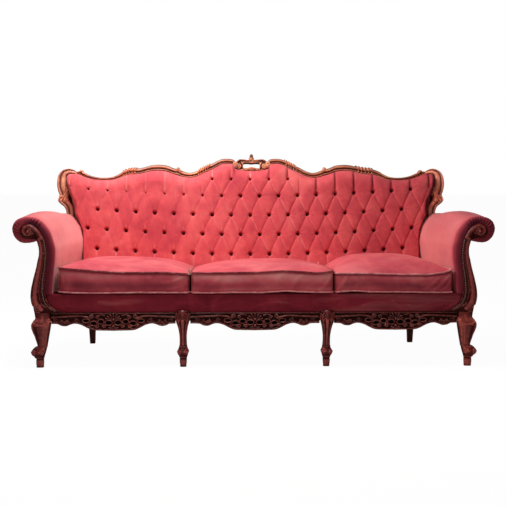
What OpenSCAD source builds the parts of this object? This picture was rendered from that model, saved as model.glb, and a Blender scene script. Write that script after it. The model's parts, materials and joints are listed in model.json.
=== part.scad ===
// Three-seat sofa: carved show-wood frame, deep-buttoned back, scrolled arms, loose seat cushions.
// X runs along the seat, Y from front to back, Z up. Every size is in millimetres.

/* [Seat] */
// Half the width between the arms, at the front
seat_half_w = 937; // [915:1:980]
// From the front leg line back to the face of the back frame, at the top of the seat rails
seat_depth = 617; // [600:1:660]
// Height of the top of the seat rails above the floor
rail_top_z = 334; // [325:1:350]
// Depth of the seat rails, from their top edge to their bottom edge
rail_h = 112; // [100:1:114]
// Thickness of the front and side seat rails
rail_t = 32; // [26:1:36]
// Thickness of the sprung seat deck under the cushions
deck_t = 15; // [10:1:20]

/* [Cushions] */
// Thickness of a seat cushion at its piped edge
cushion_edge_h = 100; // [85:1:115]
// How much higher the middle of a cushion stands than its edge
cushion_crown = 42; // [20:1:50]
// Width of the left cushion
cushion_left_w = 626; // [600:1:640]
// Width of the middle cushion
cushion_middle_w = 678; // [650:1:690]
// Gap between neighbouring cushions
cushion_gap = 2; // [1:0.5:6]

/* [Arms] */
// Height of the arm roll above the floor
arm_h = 712; // [690:1:740]
// Outward turn of each arm, from back to front, in degrees
arm_splay = 3.6; // [2:0.1:4.5]
// Radius of the wooden rail inside the arm roll
arm_rail_r = 22; // [16:1:26]
// Thickness of the carved arm facing
facing_t = 38; // [30:1:40]
// Thickness of the planks inside the arm
stump_t = 28; // [22:1:32]

/* [Back] */
// Lean of the back, in degrees from upright
back_rake = 12; // [9:0.5:14]
// Height of the crest's valleys along the leaning back, from the seat rails
crest_base = 600; // [585:1:630]
// Thickness of the plain timber in the back frame
back_timber_t = 28; // [22:1:32]
// Thickness of the buttoned padding over its crowns
back_pad_t = 80; // [66:1:82]
// Distance between buttons in one row
button_pitch = 102; // [99:0.2:104]
// Distance between rows of buttons
button_row = 105; // [98:1:107]
// Radius of a covered button
button_r = 9; // [6:0.5:11]

/* [Legs and aprons] */
// Distance of each inner front leg from the middle
inner_leg_x = 340; // [320:1:360]
// How far each rear leg stands inside the inner face of the arm
rear_leg_inset = 75; // [57:1:117]
// Width of a rear leg at its top
rear_leg_w = 46; // [38:1:50]
// Height of the top edge of the carved aprons above the floor
apron_top_z = 262; // [252:1:268]
// Thickness of the carved aprons
apron_t = 32; // [24:1:36]

/* [Springs and lining] */
// Width of one webbing strap
strap_w = 50; // [40:1:60]
// Thickness of a webbing strap
strap_t = 2.5; // [2:0.1:3]
// Largest radius of a seat spring
spring_r = 45; // [36:1:50]
// Diameter of the spring wire
wire_d = 4; // [3:0.1:5]

/* [Hidden] */

// Clearances: between pieces that are fixed together, and round a cushion that lifts out
seat_gap = 0.3;
pocket_gap = 0.4;
cushion_clear = 5;
// Plane at which legs, aprons and facings meet the front seat rail
face_y = -10;
// How far the knees of the front legs stand forward of the leg line
knee_y = -60;
big = 4000;

// The top of the deck, and the bottom of the rails
deck_top = rail_top_z + spring_cover_t() + deck_t;
rail_bottom = rail_top_z - rail_h;
border_top = deck_top - 2;
function spring_cover_t() = 1.8;
// Inner faces of the front and rear rails
front_inner_y = face_y + rail_t;
rear_rail_y = seat_depth - 14;
rear_rail_t = 60;
// Outer reach of the crest behind the seat, which centres the sofa on its origin
crest_depth = 30;
crest_top = 80;
rear_reach = seat_depth + (crest_base + crest_top) * sin(back_rake) + crest_depth * cos(back_rake);
middle_y = (rear_reach + knee_y) / 2;

// Helpers for curves

// Point at share t between b and c on a smooth curve through a, b, c and d
function curve_point(a, b, c, d, t) =
  0.5 * (2 * b + (c - a) * t + (2 * a - 5 * b + 4 * c - d) * t * t
         + (3 * b - a - 3 * c + d) * t * t * t);
// Smooth open curve through the points p, with n steps between neighbours
function smooth(p, n = 4) = let (last = len(p) - 1) concat(
  [for (i = [0 : last - 1], k = [0 : n - 1])
    curve_point(p[max(i - 1, 0)], p[i], p[i + 1], p[min(i + 2, last)], k / n)],
  [p[last]]);
// Curve p moved sideways by d, to its right as it runs
function beside(p, d) = let (last = len(p) - 1) [for (i = [0 : last])
  let (v = p[min(i + 1, last)] - p[max(i - 1, 0)]) p[i] + d * [v[1], -v[0]] / norm(v)];
function reversed(p) = [for (i = [len(p) - 1 : -1 : 0]) p[i]];
function part_of(p, a, b) = [for (i = [a : b]) p[i]];
function limit(v, lo, hi) = min(max(v, lo), hi);
function mix(a, b, t) = a + (b - a) * t;

// Helpers for solids

// Draws a 2D outline in the XZ plane, as a slab from y0 back to y1
module slab(y0, y1) { translate([0, y1, 0]) rotate([90, 0, 0]) linear_extrude(y1 - y0) children(); }
// Closed skin over rings of points; each ring has the same number of points
module skin(rings) {
  n = len(rings[0]);
  m = len(rings);
  points = [for (r = rings) each r];
  walls = [for (j = [0 : m - 2], i = [0 : n - 1]) let (a = j * n + i, b = j * n + (i + 1) % n)
    each [[a, a + n, b + n], [a, b + n, b]]];
  caps = [[for (i = [0 : n - 1]) i], [for (i = [n - 1 : -1 : 0]) (m - 1) * n + i]];
  polyhedron(points, concat(walls, caps));
}
// Turns a piece of the right side into its twin on the left
module side(s) { if (s > 0) children(); else mirror([1, 0, 0]) children(); }
// Puts the leaning back's own frame, X along, Y behind its face and Z up the back, in place
module back_frame() { translate([0, seat_depth, rail_top_z]) rotate([-back_rake, 0, 0]) children(); }
// Turns an arm piece about its front inner corner
module splayed() { translate([seat_half_w, 0, 0]) rotate([0, 0, arm_splay]) translate([-seat_half_w, 0, 0]) children(); }
// Everything behind a plane that leans with the back, at distance t behind its face
module behind(t) { back_frame() translate([-big / 2, t, -big / 2]) cube([big, big, big]); }
// Moves the finished piece so that the sofa stands centred on its origin
module placed() { translate([0, -middle_y, 0]) children(); }

// The arm's outline, seen from the front, right side

roll_x = seat_half_w + 118;
roll_z = arm_h - 62;
facing_y = face_y - seat_gap;
pad_low_z = border_top + seat_gap;
// Height at share k of the way from the rails to the middle of the roll
function arm_z(k) = mix(rail_top_z, roll_z, k);
function at_arm(dx, k) = [seat_half_w + dx, arm_z(k)];
function at_roll(dx, dz) = [roll_x + dx, roll_z + dz];
function at_apron(dx, dz) = [seat_half_w + dx, apron_top_z + dz];
// Edge of the carved facing: up its inner side, round the volute and down its outer side
facing_edge = smooth([
  at_apron(-60, 0.8), at_apron(-37, 4.5), at_apron(-15, 10), at_apron(13, 28), at_apron(35, 56),
  at_arm(46, 0.10), at_arm(45, 0.20), at_arm(42, 0.32), at_arm(36, 0.46), at_arm(32.6, 0.585),
  at_arm(34, 0.72), at_roll(-78, -52), at_roll(-70, -31), at_roll(-58, -9), at_roll(-41, 14),
  at_roll(-22, 27), at_roll(0, 31), at_roll(22, 25), at_roll(37, 9), at_roll(40, -12),
  at_roll(28, -31), at_roll(8, -39), at_roll(-15, -40), at_roll(-38, -44), at_arm(71, 0.74),
  at_arm(70.5, 0.64), at_arm(77, 0.55), at_arm(87, 0.415), at_arm(99, 0.275), at_arm(109.5, 0.13),
  at_arm(113, 0), at_apron(107, 39), at_apron(94, 21), at_apron(95, 10), at_apron(87, 1)
], 3);
// Outer face of the arm's padding: up the inside, over the roll and round to its underside
pad_edge = smooth([
  [seat_half_w + 17.5, pad_low_z], at_arm(14, 0.16), at_arm(10.4, 0.32), at_arm(3, 0.51),
  at_arm(0, 0.60), at_arm(-0.7, 0.73), at_roll(-110, -46), at_roll(-99, -12), at_roll(-82, 15),
  at_roll(-59, 41.5), at_roll(-36, 56.4), at_roll(-12, 62), at_roll(17, 61.5), at_roll(46, 54),
  at_roll(68, 36), at_roll(78, 6), at_roll(70, -27), at_roll(52, -49), at_roll(28, -60),
  at_roll(-10, -58), at_roll(-36.5, -49.5)
], 2);
// The padding fits round the back of the facing's outline, from under the volute down to the rails
hollow_span = [15, 69];
// Outer face of the arm from under the roll to the bottom of the rails
outside_edge = smooth([
  at_roll(-44, -50), at_arm(70.4, 0.73), at_arm(70.4, 0.64), at_arm(77, 0.55), at_arm(87, 0.415),
  at_arm(99, 0.275), at_arm(109.5, 0.13), at_arm(112.6, 0), [seat_half_w + 109, rail_top_z - 44],
  [seat_half_w + 102, rail_top_z - 84], [seat_half_w + 99, rail_bottom + 2]
], 3);

// The crest and posts, in the frame of the leaning back, right side.
// Each entry is [x and height of the outer edge, x and height of the inner edge].
crest_pairs = [
  [84, 60, 88, 14], [100, 75, 104, 40], [124, 79.5, 126, 43], [150, 79, 148, 43], [172, 74, 166, 39],
  [200, 60, 192, 25], [230, 45, 222, 9], [266, 28, 258, -7], [300, 10, 294, -25], [335, 1, 334, -33],
  [368, 8, 374, -28], [392, 20, 400, -20], [425, 27, 430, -11], [455, 40, 458, 0], [486, 45, 487, 5],
  [518, 46, 518, 6], [550, 42, 548, 3], [584, 32, 580, -5], [620, 25, 618, -14], [660, 22, 656, -15],
  [696, 10, 690, -24], [728, -9, 722, -38], [760, -22, 757, -46], [800, -26, 800, -47],
  [840, -23, 842, -45], [875, -14, 879, -37], [905, -1, 911, -25], [928, 8, 932, -16], [948, 9, 950, -12]
];
post_pairs = [
  [950, 596 + 9, 951, 596 - 11], [965, 616, 962, 590], [990, 624, 984, 590], [1013, 621, 995, 586],
  [1034, 610, 1003, 578], [1050, 588, 1005, 566], [1056, 562, 1004, 550], [1057, 530, 1001, 528],
  [1051, 500, 994, 504], [1043, 478, 986, 482], [1048, 460, 978, 462], [1050, 446, 972, 448],
  [1036, 430, 964, 432], [1020, 418, 957, 418], [1008, 398, 953, 400], [1002, 372, 954, 376],
  [1000, 345, 958, 352], [1000, 310, 962, 320], [1000, 260, 963, 262], [1000, 160, 963, 160],
  [1000, 60, 963, 60], [1000, 0, 963, 0]
];
function outer_edge(pairs, up) = [for (p = pairs) [p[0] * stretch, p[1] + up]];
function inner_edge(pairs, up) = [for (p = pairs) [p[2] * stretch, p[3] + up]];
// Moulded section of the crest and posts: [share across the rail, distance behind the face]
moulding = [[-1, crest_depth], [1, crest_depth], [1, 0], [0.82, -10], [0.35, -19], [-0.2, -14], [-0.7, -18], [-1, -8]];
// Rings along a rail between its outer and inner edges; ends lean by tan(lean)
function rail_rings(outer, inner, lean_last = 0) = let (o = smooth(outer, 2), i = smooth(inner, 2), last = len(o) - 1)
  [for (k = [0 : last]) let (c = (o[k] + i[k]) / 2, h = (o[k] - i[k]) / 2)
    [for (m = moulding) let (q = c + h * m[0]) [q[0], m[1], q[1] + (k == last ? m[1] * lean_last : 0)]]];
// The crest is stretched, and the posts moved, so that both follow the width of the seat
frame_half_w = seat_half_w + 12;
stretch = (frame_half_w + 1) / 950;
post_move = frame_half_w - 949;
crest_lower = smooth(inner_edge(crest_pairs, crest_base), 2);
crest_table = [for (p = crest_lower) [p[0], p[1]]];
centre_lower = crest_base + 3;
// Height of the crest's lower edge at a distance x from the middle
function crest_under(x) = let (start = crest_lower[0])
  abs(x) < start[0] ? mix(centre_lower, start[1], pow(x / start[0], 2)) : lookup(abs(x), crest_table);
// Lowest point of that edge within a short reach to each side of x
dip_reach = 13;
function dip_under(x) = min([for (k = [-4 : 4]) crest_under(x + k * dip_reach / 4)]);
stile_w = 58;
timber_drop = 60;

// The buttoned padding

// Half-width of the padding between the arms is less than the seat's by this much
pad_inset = 44;
// Columns of the padding's mesh that lie on the button lattice, each side of the middle
lattice_columns = floor((seat_half_w - pad_inset - 12) / (button_pitch / 4));
edge_columns = 2;
half_columns = lattice_columns + edge_columns;
pad_bottom = 19;
pad_rows_below = 2;
pad_rows_above = 3;
button_rows = 4;
lowest_row = 144;
row_rise = 33;
row_reach = 825;
pad_back_y = -strap_t - seat_gap;
pad_rim = 14;
crease_drop = 17;
button_drop = 30;
// Height of button row k, counted from the bottom, at distance x from the middle
function row_height(x, k) = lowest_row + k * button_row + row_rise * pow(x / row_reach, 2);
// Half-width of the padding at height s: between the arms below, between the posts above
function pad_half_w(s) = lookup(s, [[0, 893], [235, 893], [275, 899], [305, 912], [335, 930], [360, 947],
  [400, 949], [430, 955], [462, 972], [500, 988], [530, 997], [560, 1000], [590, 1000], [700, 1000]]) + post_move;
function fold_gap(v) = abs(v - round(v));
// The short row of buttons under the middle of the crest
crest_button_reach = 2;
crest_button_rise = 90;
crest_button_share = 2 / 3;
crest_button_drop = 26;
// How far above the top row they sit: a fixed rise, or a share of the room under a low crest
function crest_row_rise(x) = min(crest_button_rise, crest_button_share * (pad_top(x) - row_height(x, button_rows - 1)));
function crest_button_s(x) = row_height(x, button_rows - 1) + crest_row_rise(x);
function at_crest_button(x, s) = fold_gap(x / button_pitch) < 0.02
  && abs(x) < (crest_button_reach + 0.1) * button_pitch && abs(s - crest_button_s(x)) < 1;
// Depth of the padding at x and s: crowns between the creases that join the buttons
function tufted(x, s) = let (r = limit((s - row_height(x, 0)) / button_row, 0, button_rows - 1),
    p = fold_gap(x / button_pitch + r / 2), q = fold_gap(x / button_pitch - r / 2),
    crown = pow(max(sin(180 * p) * sin(180 * q), 0), 0.5),
    near = max(0, 1 - 5 * (p * p + q * q)) * (abs(s - row_height(x, 0) - r * button_row) < 1 ? 1 : 0.25))
  back_pad_t - crease_drop * (1 - crown) - button_drop * near - (at_crest_button(x, s) ? crest_button_drop : 0);
// Share of full depth at distance d inside the padding's rim
function rim_share(d) = sqrt(limit(1 - pow(1 - limit(d, 0, 70) / 70, 2), 0, 1));
function column_x(i, s) = let (a = abs(i), fixed = lattice_columns * button_pitch / 4,
    x = a <= lattice_columns ? a * button_pitch / 4 : mix(fixed, max(pad_half_w(s), fixed + 6), (a - lattice_columns) / edge_columns))
  (i < 0 ? -x : x);
rows_between = 2 * (button_rows - 1);
pad_rows = pad_rows_below + rows_between + pad_rows_above;
// Height of the padding's top edge; past the crest's end it follows the post
function pad_top(x) = (abs(x) < frame_half_w ? dip_under(x)
  : crest_base + lookup(abs(x) - post_move, [[949, -12], [984, -12], [1001, -26]])) - 2;
function row_s(x, j) = j < pad_rows_below ? mix(pad_bottom, row_height(x, 0), j / pad_rows_below)
  : j <= pad_rows_below + rows_between ? row_height(x, (j - pad_rows_below) / 2)
  : j == pad_rows ? pad_top(x)
  : row_height(x, button_rows - 1) + crest_row_rise(x) * (j - pad_rows_below - rows_between) / (pad_rows_above - 1);
// Thickness of the padding at x and s, thinning to its rim
function pad_depth(x, s) = let (d = min(pad_top(x) - s, (pad_half_w(s) - abs(x)) * 1.4, (s - pad_bottom) * 1.2))
  pad_rim + (tufted(x, s) - pad_rim) * rim_share(d);
function pad_point(i, j) = let (x0 = column_x(i, row_s(i * button_pitch / 4, j)), s = row_s(x0, j), x = column_x(i, s))
  [x, -pad_depth(x, s), s];

// Where the buttons sit: [x, height], row by row, and five more under the middle of the crest
button_reach = lattice_columns / 4 + 0.1;
lattice_buttons = [for (k = [0 : button_rows - 1], m = [-ceil(button_reach) : ceil(button_reach)])
  let (x = (m + (k % 2 == 0 ? 0 : 0.5)) * button_pitch) if (abs(x) < button_reach * button_pitch) [x, row_height(x, k)]];
crest_buttons = [for (m = [-crest_button_reach : crest_button_reach]) let (x = m * button_pitch) [x, crest_button_s(x)]];

// Frame of the seat

rail_in_x = seat_half_w + 38;
rail_out_x = seat_half_w + 92;
// Half-width that stays clear of the splayed arms at depth y
function clear_x(y, margin) = seat_half_w - margin - max(y, 0) * tan(arm_splay);
module plan(z0, z1) { translate([0, 0, z0]) linear_extrude(z1 - z0) children(); }
// Four-sided plan that narrows to the back with the arms
module tapered_plan(y0, y1, margin) {
  polygon([[-clear_x(y0, margin), y0], [clear_x(y0, margin), y0], [clear_x(y1, margin), y1], [-clear_x(y1, margin), y1]]);
}

block_leg = 72;
block_z = [rail_bottom + 18, rail_top_z - 14];
screw_r = 2.5;
screw_head_r = 4.5;
screw_head_h = 3;
screw_grip = 24;
screw_length = 42;
screw_inset = 20;
screw_heights = [rail_bottom + 40, rail_top_z - 40];
// Corner screws: [x, y of the rail's face, direction into the rail]
function screw_x(y) = rail_in_x - y * tan(arm_splay) - screw_inset;
screw_places = [for (f = [[front_inner_y, -1], [rear_rail_y, 1]], s = [-1, 1]) [s * screw_x(f[0]), f[0], f[1]]];
// Draws children along Y at each corner screw, from the rail's face towards the seat
module at_screws() {
  for (p = screw_places, z = screw_heights) translate([p[0], p[1], z]) rotate([p[2] * 90, 0, 0]) children();
}
module screw_holes() { at_screws() translate([0, 0, -(screw_length - screw_grip) - 1]) cylinder(h = screw_length + 2, r = screw_r + 0.05, $fn = 24); }

module seat_front_rail() { color("burlywood") difference() {
  translate([-seat_half_w - 83, face_y, rail_bottom]) cube([2 * (seat_half_w + 83), rail_t, rail_h]);
  screw_holes(); } }
module seat_rear_rail() { color("burlywood") difference() {
  translate([-frame_half_w - 51, rear_rail_y, rail_bottom]) cube([2 * (frame_half_w + 51), rear_rail_t, rail_h]);
  screw_holes(); } }
module seat_side_rail(s) { color("burlywood") side(s) intersection() {
  splayed() translate([rail_in_x, 0, rail_bottom]) cube([rail_out_x - rail_in_x, big, rail_h]);
  translate([0, front_inner_y + seat_gap, 0]) cube([big, rear_rail_y - front_inner_y - 2 * seat_gap, big]); } }
module seat_cross_rail(s) { color("burlywood") side(s)
  translate([inner_leg_x - 15, front_inner_y + seat_gap, rail_bottom]) cube([30, rear_rail_y - front_inner_y - 2 * seat_gap, 44]); }
// Inner face of a side rail at depth y
function rail_inner(y) = seat_half_w + (rail_in_x - seat_half_w) / cos(arm_splay) - y * tan(arm_splay) - seat_gap;
module corner_block(y, d) {
  plan(block_z[0], block_z[1]) polygon([[rail_inner(y), y + d * seat_gap], [rail_inner(y) - block_leg, y + d * seat_gap],
    [rail_inner(y + d * block_leg), y + d * block_leg]]);
}
module corner_blocks() { color("burlywood") difference() {
  for (s = [-1, 1]) side(s) { corner_block(front_inner_y, 1); corner_block(rear_rail_y, -1); }
  screw_holes();
  at_screws() translate([0, 0, screw_grip]) cylinder(h = big / 40, r = screw_head_r + 1, $fn = 24); } }
module corner_block_screws() { color("silver") at_screws() {
  translate([0, 0, screw_grip - screw_length]) cylinder(h = screw_length, r = screw_r, $fn = 24);
  translate([0, 0, screw_grip]) cylinder(h = screw_head_h, r = screw_head_r, $fn = 24); } }

// Springs, webbing and lining

web_z = rail_bottom - strap_t;
web_y = [face_y + 8, rear_rail_y + 10];
long_straps = 3;
cross_straps = 13;
module seat_webbing() { color("tan") plan(web_z, rail_bottom) union() {
  for (k = [0 : long_straps - 1]) let (y = mix(120, rear_rail_y - 103, k / (long_straps - 1)))
    translate([-clear_x(y, -60), y - strap_w / 2]) square([2 * clear_x(y, -60), strap_w]);
  for (k = [0 : cross_straps - 1]) translate([mix(-0.9, 0.9, k / (cross_straps - 1)) * seat_half_w - strap_w / 2, web_y[0]])
    square([strap_w, web_y[1] - web_y[0]]); } }
spring_turns = 3.5;
spring_steps = 6;
spring_sides = 4;
spring_waist = 0.7;
// One hourglass coil from z0 to z1
module spring(z0, z1) {
  count = spring_turns * spring_steps;
  wire = wire_d / 2;
  skin([for (k = [0 : count]) let (a = 360 * k / spring_steps, w = abs(2 * k / count - 1),
      r = spring_r * mix(spring_waist, 1, w * w) - wire, z = mix(z0 + wire, z1 - wire, k / count))
    [for (m = [0 : spring_sides - 1]) let (b = 45 - 360 * m / spring_sides)
      [(r + wire * cos(b)) * cos(a), (r + wire * cos(b)) * sin(a), z + wire * sin(b)]]]);
}
spring_columns = 6;
spring_reach = seat_half_w - 137;
module seat_springs() { color("silver") for (k = [0 : spring_columns - 1], y = [0.2, 0.5, 0.8]) let (x = spring_reach * (2 * k / (spring_columns - 1) - 1))
  translate([x, rear_rail_y * y, 0]) spring(rail_bottom + seat_gap, rail_top_z - seat_gap); }
module spring_cover() { color("tan") plan(rail_top_z, rail_top_z + spring_cover_t()) tapered_plan(face_y + 10, rear_rail_y + 8, 6); }
module seat_deck() { color("maroon") plan(rail_top_z + spring_cover_t(), deck_top) tapered_plan(face_y + 2, rear_rail_y + 8, 3); }
module dust_cover() { color("black") plan(web_z - 1.5, web_z) tapered_plan(web_y[0], web_y[1], -44); }
border_t = 24;
// Notch that lets the rounded top of an inner front leg into the border
leg_notch = [[-37, -2], [-35, 1], [-31.5, 8.4], [-21.5, 17.4], [21.5, 17.4], [31.5, 8.4], [35, 1], [37, -2]];
module front_border() { color("maroon") slab(face_y - border_t, face_y - seat_gap) {
  horn = [for (p = beside(part_of(facing_edge, 0, 15), -0.6)) if (p[1] < border_top - 4) p];
  half = concat([[facing_edge[0][0] - 2, apron_top_z + 1]], horn, [[horn[len(horn) - 1][0] + 2, border_top]]);
  difference() {
    polygon(concat(half, [for (p = reversed(half)) [-p[0], p[1]]]));
    for (x = [-inner_leg_x, inner_leg_x]) translate([x, apron_top_z]) polygon(leg_notch);
  } } }

// Legs

// Ring of a leg: [height, inner x, outer x, front y, back y], squarish with rounded corners
leg_sides = 14;
function leg_ring(v) = [for (i = [0 : leg_sides - 1]) let (a = 360 * (i + 0.5) / leg_sides,
    ux = sign(cos(a)) * pow(abs(cos(a)), 0.62), uy = sign(sin(a)) * pow(abs(sin(a)), 0.62))
  [(v[1] + v[2]) / 2 + (v[2] - v[1]) / 2 * ux, (v[3] + v[4]) / 2 + (v[4] - v[3]) / 2 * uy, v[0]]];
rail_leg_y = face_y - seat_gap;
// Cabriole leg under the arm: knee out and forward, thin ankle, scrolled foot on a peg
corner_leg = [
  [apron_top_z, 22, 90, -50, rail_leg_y], [rail_bottom + 18, 20, 93, -53, rail_leg_y],
  [rail_bottom + 2, 19, 103, -57, rail_leg_y], [rail_bottom - 4, 19, 109, -58.5, rail_leg_y],
  [205, 20, 114, -59, 2], [188, 25, 113, -57, 12], [154, 33, 101, -46, 20], [122, 39, 89, -35, 16],
  [102, 43, 85, -31, 15], [92, 46, 101, -45, 15], [80, 49, 114, -54, 14], [66, 53, 112, -52, 12],
  [52, 58, 101, -40, 9], [42, 62, 95, -30, 8], [36, 63, 94, -27, 7], [0, 65, 92, -24, 6]
];
// Inner front leg: the same curve seen from the side, but straight from the front
inner_leg = [
  [apron_top_z + 17, -20, 20, -44, rail_leg_y], [apron_top_z + 8, -30, 30, -50, rail_leg_y],
  [apron_top_z - 8, -34, 34, -55, rail_leg_y], [rail_bottom + 12, -35, 35, -59, rail_leg_y],
  [rail_bottom - 4, -33, 33, knee_y, rail_leg_y], [205, -29, 29, -59, 0], [185, -24, 24, -54, 9],
  [146, -19, 19, -38, 14], [102, -18, 18, -27, 14], [88, -21, 21, -34, 15], [76, -28, 28, -48, 14],
  [66, -24, 24, -48, 12], [52, -19, 19, -36, 9], [44, -17, 17, -28, 8], [0, -12, 12, -20, 5]
];
function leg_rings(table, x) = [for (v = reversed(smooth(table, 2))) leg_ring([v[0], v[1] + x, v[2] + x, v[3], v[4]])];
module front_leg(s) { color("saddlebrown") side(s) skin(leg_rings(corner_leg, seat_half_w)); }
module front_leg_inner(s) { color("saddlebrown") side(s) skin(leg_rings(inner_leg, inner_leg_x)); }
rear_leg_x = seat_half_w - rear_leg_inset;
rear_leg_foot = 26;
rear_leg_back = 8;
module rear_leg(s) { color("saddlebrown") side(s) skin([for (v = [
    [0, rear_leg_foot, rear_leg_back], [rail_bottom * 0.6, rear_leg_w * 0.8, rear_leg_back * 0.3], [rail_bottom, rear_leg_w, 0]])
  let (h = v[1] / 2, y = rear_rail_y + rear_rail_t - rear_leg_w / 2 - 2 + v[2])
  [[rear_leg_x - h, y - h, v[0]], [rear_leg_x + h, y - h, v[0]], [rear_leg_x + h, y + h, v[0]], [rear_leg_x - h, y + h, v[0]]]]); }

// Aprons: each bay has a deep pierced middle, two cusps and two small pendants

cusp_x = 178;
// Lower edge over half a bay, from its middle out to the leg: [x, drop below the apron's top]
function apron_edge(half) = smooth([[0, 86], [60, 85], [96, 83], [120, 74], [150, 59], [cusp_x, 52], [200, 56],
  [222, 64], [244, 62], [262, 54], [half, 53]], 3);
// Pierced openings in half a bay: [x, drop, half width, half height]
piercings = [[22, 47, 13, 8], [58, 42, 11, 7], [92, 50, 12, 7], [128, 38, 13, 5]];
module apron(x0, x1) {
  middle = (x0 + x1) / 2;
  half = (x1 - x0) / 2;
  lower = [for (p = apron_edge(half)) if (p[0] <= half) [p[0], -p[1]]];
  color("saddlebrown") translate([middle, 0, apron_top_z]) slab(face_y - seat_gap - apron_t, face_y - seat_gap) difference() {
    polygon(concat(lower, [[half, 0], [-half, 0]], [for (p = reversed(lower)) [-p[0], p[1]]]));
    for (s = [-1, 1], h = piercings) translate([s * h[0], -h[1]]) polygon([for (a = [0 : 20 : 340]) [h[2] * cos(a), h[3] * sin(a)]]);
  }
}
inner_leg_half = 35 + seat_gap;
outer_apron_x = [inner_leg_x + inner_leg_half, seat_half_w + 18.7];

// Arms

module facing_shape(inset) { intersection() {
  polygon(beside(facing_edge, inset));
  polygon(facing_edge); } }
module arm_facing(s) { color("saddlebrown") side(s) {
  slab(facing_y - facing_t + 8, facing_y) facing_shape(0);
  slab(facing_y - facing_t, facing_y - facing_t + 8) facing_shape(5);
  translate([roll_x + 2, facing_y - facing_t, roll_z - 5]) rotate([90, 0, 0]) cylinder(h = 5, r = 15, $fn = 48); } }
// The part of the facing's outline above the rails, drawn in by a small inset and clear of the outside cover
cover_t = 2.7;
module stump_shape() { difference() {
  intersection() {
    facing_shape(3);
    translate([0, rail_top_z]) square([big, big]); }
  polygon(concat(beside(outside_edge, -4), reversed(beside(outside_edge, cover_t + pocket_gap)))); } }
module arm_front_stump(s) { color("burlywood") side(s) intersection() {
  splayed() slab(-60, 60) stump_shape();
  slab(face_y, face_y + stump_t) square([big, big]); } }
arm_end = -21;
module arm_rear_stump(s) { color("burlywood") side(s) difference() {
  intersection() { splayed() slab(seat_depth / 2, big) stump_shape(); behind(arm_end - stump_t); }
  behind(arm_end); } }
module arm_top_rail(s) { color("burlywood") side(s) difference() {
  splayed() translate([roll_x, 0, roll_z - 4]) rotate([-90, 0, 0]) cylinder(h = big / 4, r = arm_rail_r, $fn = 48);
  translate([0, -big + face_y + stump_t + seat_gap, 0]) cube([big, big, big]);
  behind(arm_end - stump_t - seat_gap); } }
// The sheet of hessian that the arm's padding is laid on
lining_span = [17, 51];
module arm_lining(s) { color("tan") side(s) difference() {
  splayed() slab(-30, big) polygon(concat(beside(part_of(facing_edge, lining_span[0], lining_span[1]), 0.9),
    reversed(beside(part_of(facing_edge, lining_span[0], lining_span[1]), 2.4))));
  translate([0, -big + 2, 0]) cube([big, big, big]);
  behind(arm_end); } }
// Outline of the padding's cut at share t of the way back: it swells behind the facing and sinks at the back
arm_swell = 16;
arm_sink = 10;
function swell(t) = arm_swell * sin(180 * limit(t * 1.25, 0, 1)) - arm_sink * pow(t, 3);
hollow_line = beside(part_of(facing_edge, hollow_span[0], hollow_span[1]), -pocket_gap);
hollow_foot = [lookup(pad_low_z, [for (p = part_of(facing_edge, hollow_span[0] - 3, hollow_span[0])) [p[1], p[0]]]) - 2 * pocket_gap, pad_low_z];
// The padding is in two pieces, the inside panel and the stuffed roll, which meet at these points of both lines
roll_seam = [12, 33 - hollow_span[0]];
function opened(p) = [p[0], p[1] + seat_gap];
function panel_section(edge) = concat(part_of(edge, 0, roll_seam[0]), reversed(part_of(hollow_line, 0, roll_seam[1])), [hollow_foot]);
function roll_section(edge) = concat([opened(edge[roll_seam[0]])], part_of(edge, roll_seam[0] + 1, len(edge) - 1),
  reversed(part_of(hollow_line, roll_seam[1] + 1, len(hollow_line) - 1)), [opened(hollow_line[roll_seam[1]])]);
function pad_section(edge, roll) = roll ? roll_section(edge) : panel_section(edge);
// Share of the swelling taken up at height z: none low on the arm, all on top of the roll
function swell_share(z) = limit((z - roll_z + 70) / 132, 0, 1);
function raised(p, t) = let (w = swell_share(p[1]), side_w = w * limit((roll_x - p[0]) / 90, -1, 1))
  [p[0] - 0.35 * swell(t) * side_w, p[1] + swell(t) * w * w * (3 - 2 * w)];
pad_front = -46;
pad_rings = 7;
// Where the arm meets the back, at height z
function arm_end_y(z) = seat_depth + arm_end / cos(back_rake) + (z - rail_top_z) * tan(back_rake);
function arm_point(q, t) = let (y = t * arm_end_y(q[1]))
  [seat_half_w + (q[0] - seat_half_w) / cos(arm_splay) - y * tan(arm_splay), y, q[1]];
function arm_ring(t, roll) = [for (p = pad_section([for (q = pad_edge) raised(q, t)], roll)) arm_point(p, t)];
// The edge drawn in by inset, less and less over its last few points, which end on the facing
function drawn_in(inset) = let (moved = beside(pad_edge, inset), last = len(pad_edge) - 1)
  [for (i = [0 : last]) mix(pad_edge[i], moved[i], min(1, (last - i) / 6))];
function front_ring(y, inset, roll) = [for (p = pad_section(drawn_in(inset), roll)) [p[0], y, p[1]]];
module arm_skin(s, roll) { color("indianred") side(s)
  skin(concat([front_ring(pad_front, 8, roll), front_ring(pad_front + 2.5, 4, roll), front_ring(pad_front + 8, 0, roll)],
    [for (k = [0 : pad_rings]) arm_ring(k / pad_rings, roll)])); }
module arm_pad(s) { arm_skin(s, false); }
module arm_roll(s) { arm_skin(s, true); }
module outside_arm(s) { color("indianred") side(s) difference() {
  splayed() slab(-30, big) polygon(concat(outside_edge, reversed(beside(outside_edge, cover_t))));
  translate([0, -big + face_y + 1, 0]) cube([big, big, big]);
  behind(arm_end); } }

// Back

module crest(s) { color("peru") back_frame() side(s) skin(rail_rings(outer_edge(crest_pairs, crest_base), inner_edge(crest_pairs, crest_base))); }
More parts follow.
